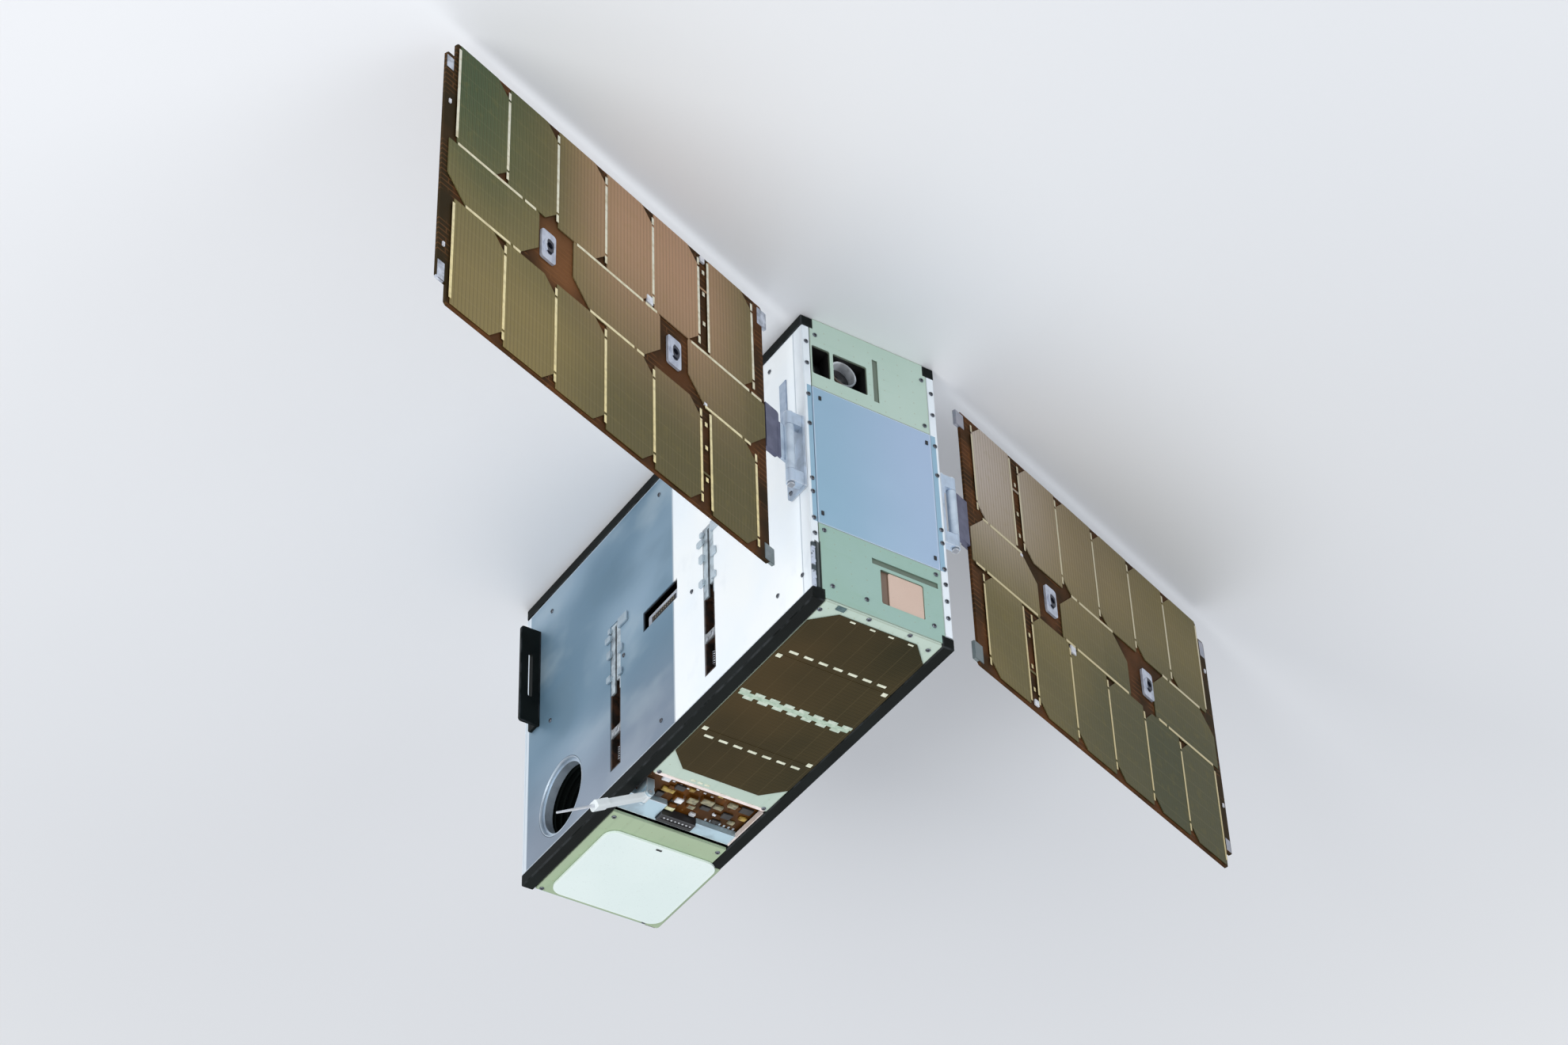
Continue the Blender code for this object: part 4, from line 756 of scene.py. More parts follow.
def paint_top_cells(name, settings):
    """Dark body-mounted cells with fine fingers along their width."""
    paint = Paint(name)
    cloud = paint.noise(9, 3)
    base = paint.mix(cloud.rise(0.35, 0.68), settings.top_dark, settings.top_brown)
    fingers = paint.x.lines(0.0030, 0.0006)
    fine = paint.x.lines(0.0010, 0.0003)
    base = paint.mix(fingers * 0.3, base, tone(24, 22, 12))
    base = paint.mix(fine * 0.16, base, tone(112, 98, 62))
    base = paint.mix(paint.y.lines(0.013, 0.0006) * 0.1, base, tone(130, 116, 84))
    warm = paint.y.rise(-0.035, 0.04) * (0.5 + cloud.rise(0.35, 0.6) * 0.5)
    base = paint.mix(warm * 0.6, base, tone(78, 61, 35))
    paint.bump(fingers + fine, 0.00002, 0.5)
    return paint.finish(base_color=base, roughness=0.36 + cloud * 0.12, specular_ior_level=0.07)


def paint_plain(name, display, second, scale, roughness, metallic=0.0):
    """A small part's finish: two near colours, speckled, with a fine grain."""
    paint = Paint(name)
    cloud = paint.noise(scale, 3)
    base = paint.mix(cloud.rise(0.35, 0.65), tone(*display), tone(*second))
    paint.bump(paint.noise(scale * 8, 2), 0.00002, 0.7)
    return paint.finish(base_color=base, roughness=roughness + cloud * 0.12, metallic=metallic)


def paint_tab(name, side, display):
    """Edge tab's metal, dull and greener on the tab at the hinge end toward the top."""
    paint = Paint(name)
    stain = paint.noise(200, 3)
    base = paint.mix(stain.rise(0.35, 0.65), tone(*display), tone(150, 156, 168))
    out = paint.outward(side)
    dull = out.fall(0.05, 0.06) * paint.z.rise(0.15, 0.16)
    base = paint.mix(dull * 0.85, base, tone(98, 112, 112))
    paint.bump(paint.noise(1600, 2), 0.00002, 0.7)
    return paint.finish(base_color=base, roughness=0.35 + stain * 0.12, metallic=0.3)


def paint_line(name, settings, dimming):
    """Tinned conductor between the wing cells, dulled in places."""
    paint = Paint(name)
    dull = paint.noise(260, 3)
    cream = paint.mix(paint.z.rise(0.03, 0.2), settings.strip_pale, settings.strip_cream)
    base = paint.mix((dull.rise(0.42, 0.7) * 0.5).high(dimming), cream, tone(176, 160, 118))
    paint.bump(paint.noise(2200, 2), 0.00002, 0.7)
    return paint.finish(base_color=base, roughness=0.32 + dull * 0.2)


class SatelliteSizes(PropertyGroup):
    """Sizes of the parts that are added to the frame."""

    screw_radius: length("Screw radius", "Radius of a screw's head", 0.0016)
    screw_height: length("Screw height", "Height of a screw's head above its seat", 0.0005)
    line_width: length("Cell line width", "Width of the light line beside each wing cell", 0.0019)
    line_height: length("Cell line height", "How far the lines stand above the cells", 0.0002)
    dash_length: length("Dash length", "Length of the links between the top cells", 0.0060)
    dash_width: length("Dash width", "Width of the links between the top cells", 0.0019)
    dash_pitch: length("Dash pitch", "Distance from one link to the next", 0.0104)
    coil_wire: length("Coil wire", "Radius of the release springs' wire", 0.00035)
    wear_width: length("Wear width", "How far edge wear reaches in from the rails' edges", 0.0012)
    screw_sides: IntProperty(name="Screw sides", description="Faces round a screw's head", default=20, min=6)


class SatelliteFinishes(PropertyGroup):
    """Colours of the main finishes."""

    black: colour("Rail black", "Black anodised rails and guards", (8, 12, 11))
    white: colour("Panel white", "White painted bus panels", (246, 251, 253))
    satin_dark: colour("Satin dark", "Darker clouds of the payload panels", (100, 132, 154))
    satin_light: colour("Satin light", "Lighter clouds of the payload panels", (148, 174, 194))
    plate_low: colour("Plate left colour", "Left part of the sensor end's centre plate", (142, 178, 200))
    plate_high: colour("Plate right colour", "Right part of the sensor end's centre plate", (166, 188, 216))
    board_dark: colour("Wing board dark", "Darker laminate of the wings", (52, 36, 18))
    board_light: colour("Wing board light", "Lighter laminate of the wings", (86, 54, 29))
    cell_olive: colour("Cell olive", "Main colour of the wing cells", (104, 95, 60))
    cell_gold: colour("Cell gold", "Second colour of the wing cells", (134, 118, 72))
    cell_shade: colour("Cell shade", "Darker olive of the left wing near its hinge", (84, 78, 48))
    cell_green: colour("Cell green", "Green tint at the left wing's outer corner", (50, 76, 50))
    cell_rose: colour("Cell rose", "Rose tint of the left wing's middle", (178, 140, 112))
    cell_dusk: colour("Cell dusk", "Dull green toward the right wing's outer edge", (60, 64, 42))
    cell_blush: colour("Cell blush", "Grey rose at the right wing's hinge", (188, 176, 168))
    top_dark: colour("Top cell dark", "Dark tone of the body-mounted cells", (38, 36, 18))
    top_brown: colour("Top cell brown", "Brown tone of the body-mounted cells", (66, 56, 32))
    strip_cream: colour("Strip cream", "Lines between the wing cells, toward the top", (240, 222, 162))
    strip_pale: colour("Strip pale", "Lines between the wing cells, toward the base", (226, 224, 206))


class SatelliteStage(PropertyGroup):
    """Studio light and floor."""

    key_power: FloatProperty(name="Key power", description="Watts of the large soft lamp", default=31, min=0)
    fill_power: FloatProperty(name="Fill power", description="Watts of each other lamp", default=9, min=0)
    sky_level: FloatProperty(name="Sky level", description="Strength of the even light", default=0.5, min=0)
    floor: colour("Floor", "Pale studio floor", (232, 234, 238))


def dress(node, material):
    """Give a CAD node its detailed finish."""
    mesh = NODES[node].data
    if mesh.materials:
        mesh.materials[0] = material
    else:
        mesh.materials.append(material)


class SATELLITE_OT_finish_body(Operator):
    """Finish the rails, panels, plates and guards"""

    bl_idname = "satellite.finish_body"
    bl_label = "Finish body"

    def execute(self, context):
        colours = context.scene.satellite_finishes
        wear_width = context.scene.satellite_sizes.wear_width
        blacks = [name for name in NODES if name.startswith(("rail_", "tip_guard_"))]
        for name in blacks + ["lens_barrel"]:
            dress(name, paint_black(name + "_black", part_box(name), colours, wear_width))
        for name in ("skin_left_bus", "skin_right_bus", "skin_base"):
            dress(name, paint_white(name + "_white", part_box(name), colours, name != "skin_base"))
        for name in ("skin_left_payload", "skin_right_payload", "far_plate"):
            dress(name, paint_satin(name + "_satin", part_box(name), colours, name != "far_plate"))
        dress("aperture_ring", paint_metal(
            "ring_bright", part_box("aperture_ring"), (186, 202, 216), (1, 1, 1), 0.3,
        ))
        for name in ("near_post_left", "near_post_right"):
            dress(name, paint_post(name + "_white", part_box(name), colours, name == "near_post_left"))
        dress("corner_latch", paint_latch("latch_dark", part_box("corner_latch")))
        dress("near_plate_centre", paint_centre_plate("centre_plate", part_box("near_plate_centre"), colours))
        for name, display, trace in (
            ("near_plate_sensor", (184, 206, 194), (172, 198, 182)),
            ("near_plate_upper", (152, 184, 174), (144, 178, 158)),
        ):
            dress(name, paint_board(name + "_mask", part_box(name), display, trace, "x"))
        dress("near_tile", paint_near_tile("peach_tile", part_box("near_tile")))
        return {"FINISHED"}


class SATELLITE_OT_finish_top(Operator):
    """Finish the narrow face: solar board, equipment bay, patch and whip"""

    bl_idname = "satellite.finish_top"
    bl_label = "Finish top"

    def execute(self, context):
        colours = context.scene.satellite_finishes
        for name, display, trace in (
            ("top_board", (190, 208, 196), (172, 194, 180)),
            ("patch_board", (166, 186, 154), (148, 170, 138)),
        ):
            dress(name, paint_board(name + "_mask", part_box(name), display, trace, "z"))
        dress("top_cells", paint_top_cells("top_cells_glass", colours))
        bay_paint = paint_board(
            "bay_board_mask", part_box("bay_board"), (62, 38, 12), (132, 78, 20), "z", 0.36, 0.12,
        )
        dress("bay_board", bay_paint)
        for name in ("bay_bracket", "antenna_mount"):
            dress(name, paint_metal(name + "_metal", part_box(name), (180, 204, 216)))
        dress("bay_connector", paint_plastic("connector_plastic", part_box("bay_connector"), (26, 26, 28)))
        for name, display, second in (
            ("patch_tile", (226, 240, 238), (240, 250, 248)),
            ("antenna_arm", (222, 230, 234), (238, 244, 246)),
            ("antenna_block", (222, 230, 234), (238, 244, 246)),
        ):
            dress(name, paint_tile(name + "_white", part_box(name), display, second))
        dress("antenna_whip", paint_metal("whip_metal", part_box("antenna_whip"), (216, 220, 226)))
        dress("antenna_pin", paint_metal("pin_metal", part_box("antenna_pin"), (190, 192, 198)))
        return {"FINISHED"}


class SATELLITE_OT_finish_sensors(Operator):
    """Finish the sensors, the instrument, the releases and the inner blocks"""

    bl_idname = "satellite.finish_sensors"
    bl_label = "Finish sensors"

    def execute(self, context):
        dress("sensor_housing", paint_plastic("housing_black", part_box("sensor_housing"), (16, 15, 15)))
        dress("star_tracker_hood", paint_hood("hood_metal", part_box("star_tracker_hood")))
        dress("star_tracker_lens", paint_glass("star_glass", (8, 6, 10), (60, 30, 22)))
        dress("sun_sensor", paint_glass("sun_glass", (10, 10, 12), (30, 28, 36)))
        dress("front_lens", paint_glass("front_glass", (4, 4, 7), (18, 10, 34)))
        for name in NODES:
            if name.startswith("release_"):
                lug_display = (198, 212, 222) if name.endswith("bus") else (142, 164, 180)
                dress(name, paint_release(name + "_metal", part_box(name), lug_display))
        dress("port_connector", paint_metal("port_metal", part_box("port_connector"), (186, 192, 202)))
        for name in ("avionics_stack", "payload_stack"):
            dress(name, paint_board(name + "_mask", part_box(name), (60, 32, 20), (96, 58, 34), "z", 0.4))
        return {"FINISHED"}


class SATELLITE_OT_finish_wings(Operator):
    """Finish the wings' boards, cells, clamps and hinges"""

    bl_idname = "satellite.finish_wings"
    bl_label = "Finish wings"

    def execute(self, context):
        colours = context.scene.satellite_finishes
        for side_name, side in SIDES.items():
            board = "wing_%s_board" % side_name
            cells = "wing_%s_cells" % side_name
            dress(board, paint_wing_board(board + "_laminate", side, colours))
            dress(cells, paint_wing_cells(cells + "_glass", side, colours))
            for zone in ("bus", "payload"):
                clamp = "clamp_%s_%s" % (side_name, zone)
                dress(clamp, paint_clamp(clamp + "_silver", side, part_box(clamp)))
            leaf = "hinge_%s_leaf" % side_name
            base = "hinge_%s_base" % side_name
            pin = "hinge_%s_pin" % side_name
            dress(leaf, paint_leaf(leaf + "_violet", side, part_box(leaf)))
            dress(base, paint_metal(base + "_metal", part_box(base), (188, 204, 222)))
            dress(pin, paint_metal(pin + "_metal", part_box(pin), (150, 154, 162)))
        return {"FINISHED"}


SKIN_SCREWS = (
    # X, Z in metres
    (-0.1367, 0.0229), (-0.1368, 0.1148), (-0.0434, 0.1241), (0.0012, 0.0224), (0.0011, 0.2053),
    (0.1335, 0.0199), (0.1334, 0.2000), (0.1598, 0.2029), (0.1625, 0.0835), (0.0387, 0.1299),
)
HINGE_SCREWS = (0.0895, 0.1005, 0.1258, 0.1368)
POST_SCREWS = (0.022, 0.040, 0.066, 0.090, 0.134, 0.1445, 0.165, 0.177, 0.190, 0.203)
PLATE_SCREWS = (
    # Y, Z on the sensor end
    (0.040, 0.0135), (-0.040, 0.0135), (-0.040, 0.052), (0.040, 0.172), (-0.040, 0.172), (0.012, 0.213),
    (-0.036, 0.213), (0.036, 0.213),
)
TOP_SCREWS = (
    # X, Y on the narrow face's boards
    (0.1618, 0.040), (0.1685, -0.019), (0.1625, -0.036), (0.1685, 0.010), (-0.0205, 0.038), (-0.0205, -0.038),
    (-0.0745, 0.038), (-0.0745, -0.038), (-0.1648, 0.038), (-0.1648, -0.038),
)
FAR_SCREWS = (
    # Y, Z on the plain end
    (0.042, 0.020), (-0.042, 0.020), (0.042, 0.113), (-0.042, 0.113), (0.042, 0.206), (-0.042, 0.206),
    (0.0, 0.010), (0.0, 0.214),
)


def screw_points():
    """Places of every screw on the body, each with the way it faces."""
    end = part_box("near_plate_upper")[1].x
    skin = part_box("skin_left_bus")[1].y
    points = []
    for side in (1, -1):
        facing = FACING["+Y"] if side > 0 else FACING["-Y"]
        for x, z in SKIN_SCREWS:
            points.append(((x, side * skin, z), facing, ONE))
        for z in POST_SCREWS:
            if side > 0 and z > LATCH_START:
                continue
            points.append(((end, side * (skin - 0.0027), z), FACING["+X"], ONE))
    points += [((end, y, z), FACING["+X"], ONE) for y, z in PLATE_SCREWS]
    for x, y in TOP_SCREWS:
        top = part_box("top_board")[1].z if x > -0.03 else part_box("patch_board")[1].z
        points.append(((x, y, top), FACING["+Z"], ONE))
    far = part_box("far_plate")[0].x + 0.0008
    points += [((far, y, z), FACING["-X"], ONE) for y, z in FAR_SCREWS]
    return points


class SATELLITE_OT_add_screws(Operator):
    """Add the screw heads of the body and the hinges"""

    bl_idname = "satellite.add_screws"
    bl_label = "Add screws"

    def execute(self, context):
        sizes = context.scene.satellite_sizes
        tree = screw_tree()
        head = paint_plain("screw_head", (70, 74, 82), (112, 118, 128), 500, 0.3, 0.7)
        # near black, as painted shade for the hollow of each head's socket
        socket = paint_plain("screw_socket", (8, 8, 9), (20, 20, 22), 500, 0.6)
        points = screw_points()
        for side in (1, -1):
            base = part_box("hinge_left_base" if side > 0 else "hinge_right_base")
            plate = side * (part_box("skin_left_bus")[1].y + SEAT + 0.002)
            facing = FACING["+Y"] if side > 0 else FACING["-Y"]
            for z in HINGE_SCREWS:
                points.append(((base[0].x + 0.0036, plate, z), facing, ONE))
        raised = [(Vector(place) + self.lift(turn, 0.0002), turn, size) for place, turn, size in points]
        grow(
            "screw_heads", tree, raised, "bus", "grey_metal", head, Radius=sizes.screw_radius,
            Height=sizes.screw_height, Sides=sizes.screw_sides,
        )
        # a thin dark hexagon on each head stands for its socket's hollow as painted shade
        sunk = [(Vector(place) + self.lift(turn, 0.0007), turn, size) for place, turn, size in points]
        grow(
            "screw_sockets", tree, sunk, "bus", "black_plastic", socket, Radius=sizes.screw_radius * 0.55,
            Height=0.00006, Sides=6,
        )
        return {"FINISHED"}

    @staticmethod
    def lift(turn, height):
        """A step outward from the surface that a screw faces away from."""
        for key, vector in (("+X", (1, 0, 0)), ("-X", (-1, 0, 0)), ("+Y", (0, 1, 0)), ("-Y", (0, -1, 0))):
            if FACING[key] == turn:
                return Vector(vector) * height
        return Vector((0, 0, 1)) * height


COLUMN_STARTS = (0.0325, 0.0843, 0.1271, 0.1699, 0.2127, 0.2555)
CELL_WIDTH = 0.0413
ROW_INNER = 0.0223
ROW_OUTER = 0.1008
UPRIGHT_CROP = 0.0095
LYING_CROP = 0.0150
LYING_END = 0.0030
LYING_LAST = 0.2960
LYING_LINE = 0.02155
LINE_BREAK = 0.0012
LYING_ROWS = (
    # start, end of the lying cells outward from the hinge axis
    (0.0217, 0.0946), (0.1203, 0.1979), (0.2276, 0.3030),
)


def bar_turn(side):
    return tuple(wing_turn(side).to_euler())


class SATELLITE_OT_add_cell_lines(Operator):
    """Add the light lines and links between the wings' cells"""

    bl_idname = "satellite.add_cell_lines"
    bl_label = "Add cell lines"

    def execute(self, context):
        sizes = context.scene.satellite_sizes
        colours = context.scene.satellite_finishes
        tree = bar_tree()
        for side_name, side in SIDES.items():
            front = self.front_of(side_name, side)
            layer = front - sizes.line_height / 2
            turn = bar_turn(side)
            points = []

            def add(out, rise, width, height, layer=layer, share=1.0 if side > 0 else 0.8):
                size = (width * (share if width < 0.003 else 1), sizes.line_height, height)
                points.append((wing_point(side, out, rise, layer), turn, size))

            for band in (1, -1):
                middle = band * (ROW_INNER + ROW_OUTER) / 2
                tall = ROW_OUTER - ROW_INNER - 2 * UPRIGHT_CROP - 0.004
                for start in COLUMN_STARTS:
                    # the main line, and the short pieces past its two breaks
                    add(start - 0.0006, middle, sizes.line_width, tall)
                    for end in (1, -1):
                        add(start - 0.0006, middle + end * (tall / 2 + 0.0048), sizes.line_width, 0.0056)
                add(COLUMN_STARTS[-1] + CELL_WIDTH + 0.0004, middle, sizes.line_width, tall + 0.016)
                add(COLUMN_STARTS[0] + CELL_WIDTH + 0.0009, middle, sizes.line_width, tall + 0.018)
                for step in (-0.026, -0.008, 0.0165):
                    add(COLUMN_STARTS[0] + CELL_WIDTH + 0.0052, middle + step, 0.0022, 0.0030)
            for start, end in LYING_ROWS:
                for band in (1, -1):
                    inset = LYING_CROP if band > 0 else LYING_END
                    low = start + inset
                    high = min(end - inset, LYING_LAST)
                    gap = low + (high - low) * 0.16
                    for first, last in ((low, gap - LINE_BREAK), (gap + LINE_BREAK, high)):
                        add((first + last) / 2, band * LYING_LINE, last - first, sizes.line_width)
            cream = paint_line("line_cream_" + side_name, colours, 0.0 if side > 0 else 0.6)
            grow("cell_lines_" + side_name, tree, points, "wing_" + side_name, "olive_cell", cream)
        return {"FINISHED"}

    @staticmethod
    def front_of(side_name, side):
        """The cells' front, as a distance toward the wing's back from the hinge axis."""
        mesh = NODES["wing_%s_cells" % side_name].data
        hinge = wing_hinge(side)
        return min((vert.co - hinge).dot(WING_BACK_DIRECTION) for vert in mesh.vertices)


WING_TABS = (
    # outward, rise, width, height, how much thicker than the board
    (0.30405, -0.0815, 0.0061, 0.0100, 0.0001), (0.30405, 0.0815, 0.0061, 0.0135, 0.0001),
    (0.0206, -0.0935, 0.0090, 0.0135, 0.0006), (0.0206, 0.0945, 0.0090, 0.0120, 0.0006),
)
WING_CHIPS = (
    # outward, rise, how far before the board, size
    (0.1300, -0.0262, 0.0010, (0.0052, 0.0012, 0.0058)),
    (0.0800, -0.0975, 0.0009, (0.0040, 0.0012, 0.0040)),
    (0.0790, 0.0195, 0.0007, (0.0026, 0.0009, 0.0020)),
    (0.3035, -0.0500, 0.0006, (0.0016, 0.0008, 0.0030)),
    (0.3035, 0.0620, 0.0006, (0.0016, 0.0008, 0.0030)),
)


class SATELLITE_OT_add_wing_parts(Operator):
    """Add the wings' edge tabs, small components and back wiring"""

    bl_idname = "satellite.add_wing_parts"
    bl_label = "Add wing parts"

    def execute(self, context):
        chip = paint_plain("wing_chip", (228, 230, 236), (196, 198, 206), 300, 0.35)
        copper = paint_plain("back_copper", (176, 122, 66), (146, 96, 50), 180, 0.35, 0.5)
        diode = paint_plain("back_diode", (22, 22, 24), (40, 40, 44), 300, 0.45)
        tree = bar_tree()
        for side_name, side in SIDES.items():
            board = NODES["wing_%s_board" % side_name].data
            hinge = wing_hinge(side)
            depths = [(vert.co - hinge).dot(WING_BACK_DIRECTION) for vert in board.vertices]
            front, back = min(depths), max(depths)
            middle = (front + back) / 2
            thick = back - front
            turn = bar_turn(side)
            body = "wing_" + side_name
            bm = bmesh.new()
            basis = wing_turn(side)
            for out, rise, width, height, proud in WING_TABS:
                add_block(bm, wing_point(side, out, rise, middle), (width, thick + proud, height), basis)
            tab = paint_tab("tab_grey_" + side_name, side, (206, 212, 224) if side > 0 else (164, 164, 174))
            name = "wing_tabs_" + side_name
            add_piece(name, mesh_from(name, bm), body, [tab])
            chips = [
                (wing_point(side, out, rise, front - before), turn, size)
                for out, rise, before, size in WING_CHIPS
            ]
            grow("wing_chips_" + side_name, tree, chips, body, "white_tile", chip)
            tracks = []
            diodes = []
            for start in COLUMN_STARTS:
                out = start + CELL_WIDTH / 2
                for band in (1, -1):
                    place = wing_point(side, out, band * 0.058, back + 0.00006)
                    tracks.append((place, turn, (0.0022, 0.00012, 0.070)))
                    place = wing_point(side, out + 0.006, band * 0.030, back + 0.0008)
                    diodes.append((place, turn, (0.0028, 0.0016, 0.0050)))
            for rise in (-0.093, -0.006, 0.006, 0.093):
                tracks.append((wing_point(side, 0.160, rise, back + 0.00006), turn, (0.262, 0.00012, 0.0018)))
            grow("wing_tracks_" + side_name, tree, tracks, body, "brown_board", copper)
            grow("wing_diodes_" + side_name, tree, diodes, body, "black_plastic", diode)
        return {"FINISHED"}


class SATELLITE_OT_add_top_parts(Operator):
    """Add the links between the top cells and the equipment bay's components"""

    bl_idname = "satellite.add_top_parts"
    bl_label = "Add top parts"

    def execute(self, context):
        sizes = context.scene.satellite_sizes
        cells_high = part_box("top_cells")[1]
        white = paint_plain("link_white", (228, 230, 210), (206, 210, 188), 400, 0.4, 0.1)
        pale = paint_plain("link_pale", (190, 208, 190), (160, 184, 164), 300, 0.45)
        tree = bar_tree()
        links = []
        strips = []
        height = 0.0003
        top = cells_high.z + height / 2
        for x, dots in ((0.1207, 0.1143), (0.0260, 0.0323)):
            for step in range(7):
                y = 0.0312 - step * sizes.dash_pitch
                links.append(((x, y, top), UP, (sizes.dash_width, sizes.dash_length, height)))
            for y in (0.0375, -0.0375):
                links.append(((dots, y, top), UP, (0.0032, 0.0034, height)))
        strips.append(((0.0731, 0.0, top - 0.0001), UP, (0.0034, 2 * cells_high.y - 0.004, height)))
        tiles = []
        for x, count in ((0.0758, 8), (0.0702, 7)):
            for step in range(count):
                y = (count - 1 - 2 * step) * sizes.dash_pitch / 2
                tiles.append(((x, y, top), UP, (0.0026, 0.0066, height)))
        for y in (-0.024, -0.010, 0.003, 0.017):
            links.append(((cells_high.x - 0.0016, y, top), UP, (0.0012, 0.0036, height)))
        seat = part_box("top_board")[1].z + height / 2
        for y in (0.0150, 0.0100, 0.0050):
            links.append(((-0.0178, y, seat), UP, (0.0016, 0.0034, height)))
        worn = paint_plain("link_worn", (206, 218, 204), (176, 194, 176), 260, 0.45)
        grow("top_tiles", tree, tiles, "bus", "white_tile", worn)
        grow("top_links", tree, links, "bus", "white_tile", white)
        grow("top_strips", tree, strips, "bus", "pale_green_board", pale)

        edge = paint_plain("edge_light", (246, 232, 228), (228, 214, 208), 200, 0.35, 0.3)
        board_low, board_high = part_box("top_board")
        bay_low, bay_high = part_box("bay_board")
        trims = [
            ((board_low.x + 0.0012, 0.0, board_high.z + 0.0002), UP, (0.0024, 0.0790, 0.0005)),
            (((bay_low.x + bay_high.x) / 2, -0.0409, 0.2232), UP, (0.0410, 0.0006, 0.0040)),
        ]
        grow("bay_trims", tree, trims, "bus", "satin_aluminium", edge)

        cans = (
            # X, Y, length, width, height
            (-0.0440, 0.0092, 0.0046, 0.0050, 0.0038), (-0.0530, 0.0190, 0.0040, 0.0052, 0.0022),
            (-0.0548, -0.0070, 0.0030, 0.0040, 0.0018), (-0.0306, 0.0262, 0.0044, 0.0056, 0.0016),
            (-0.0482, -0.0192, 0.0022, 0.0026, 0.0014),
        )
        yellows = ((-0.0548, 0.0096, 0.0036, 0.0064, 0.0028),)
        golds = (
            (-0.0403, 0.0192, 0.0040, 0.0088, 0.0014),
            (-0.0335, 0.0060, 0.0030, 0.0040, 0.0012), (-0.0432, -0.0370, 0.0036, 0.0052, 0.0014),
            (-0.0300, -0.0130, 0.0026, 0.0036, 0.0012),
        )
        tans = (
            (-0.0410, 0.0012, 0.0052, 0.0066, 0.0030), (-0.0378, -0.0080, 0.0050, 0.0082, 0.0028),
            (-0.0478, -0.0018, 0.0038, 0.0050, 0.0020), (-0.0404, -0.0172, 0.0036, 0.0064, 0.0018),
            (-0.0346, -0.0244, 0.0044, 0.0060, 0.0016), (-0.0506, -0.0330, 0.0034, 0.0046, 0.0012),
        )
        darks = (
            (-0.0346, 0.0140, 0.0050, 0.0070, 0.0014), (-0.0350, -0.0345, 0.0060, 0.0086, 0.0014),
            (-0.0286, -0.0040, 0.0034, 0.0060, 0.0012), (-0.0494, 0.0090, 0.0044, 0.0068, 0.0012),
            (-0.0452, -0.0106, 0.0040, 0.0066, 0.0014), (-0.0460, -0.0268, 0.0056, 0.0070, 0.0012),
            (-0.0545, -0.0240, 0.0036, 0.0060, 0.0012), (-0.0282, -0.0260, 0.0028, 0.0050, 0.0010),
            (-0.0465, 0.0222, 0.0052, 0.0048, 0.0014),
        )
        kinds = (
            ("bay_cans", cans, "white_tile", (236, 238, 240), (206, 210, 216), 0.3, 0.4),
            ("bay_relay", yellows, "white_tile", (236, 238, 202), (206, 208, 160), 0.35, 0.0),
            ("bay_capacitors", golds, "brown_board", (176, 150, 70), (120, 92, 34), 0.35, 0.1),
            ("bay_coils", tans, "satin_aluminium", (158, 152, 122), (110, 106, 88), 0.4, 0.1),
            ("bay_chips", darks, "black_plastic", (24, 22, 22), (44, 40, 38), 0.4, 0.0),
        )
        for name, rows, slot, display, second, roughness, metallic in kinds:
            bm = bmesh.new()
            for x, y, long, wide, high in rows:
                add_block(bm, (x, y, BAY_FLOOR + high / 2 + 0.0001), (long, wide, high))
            paint = paint_plain(name + "_finish", display, second, 300, roughness, metallic)
            add_piece(name, mesh_from(name, bm), "bus", [paint])

        solder = paint_plain("solder", (222, 224, 228), (190, 192, 198), 500, 0.25, 0.7)
        pads = []
        for step in range(9):
            y = -0.036 + step * 0.0048
            pads.append(((-0.0270, y, BAY_FLOOR + 0.0003), UP, (0.0014, 0.0024, 0.0006)))
        for step in range(7):
            pads.append(((-0.0560 + 0.0002 * (step % 2), -0.038 + step * 0.0034, BAY_FLOOR + 0.0003), UP,
                         (0.0018, 0.0012, 0.0006)))
        for step in range(6):
            pads.append(((-0.0335 + 0.0010 * (step % 3), -0.0085 + step * 0.0058, BAY_FLOOR + 0.0003), UP,
                         (0.0010, 0.0018, 0.0006)))
        grow("bay_pads", tree, pads, "bus", "grey_metal", solder)
        pins = [
            ((-0.0600, -0.0085 + step * 0.0027, 0.2262), UP, (0.0010, 0.0010, 0.0008)) for step in range(8)
        ]
        grow("connector_pins", tree, pins, "bus", "grey_metal", solder)
        return {"FINISHED"}


RELEASE_PLACES = {"bus": 0.058, "payload": -0.0537}
RELEASE_STUDS = (0.1502, 0.1610, 0.1700, 0.1850, 0.1985)
FAR_STUDS = (0.1610, 0.1985)


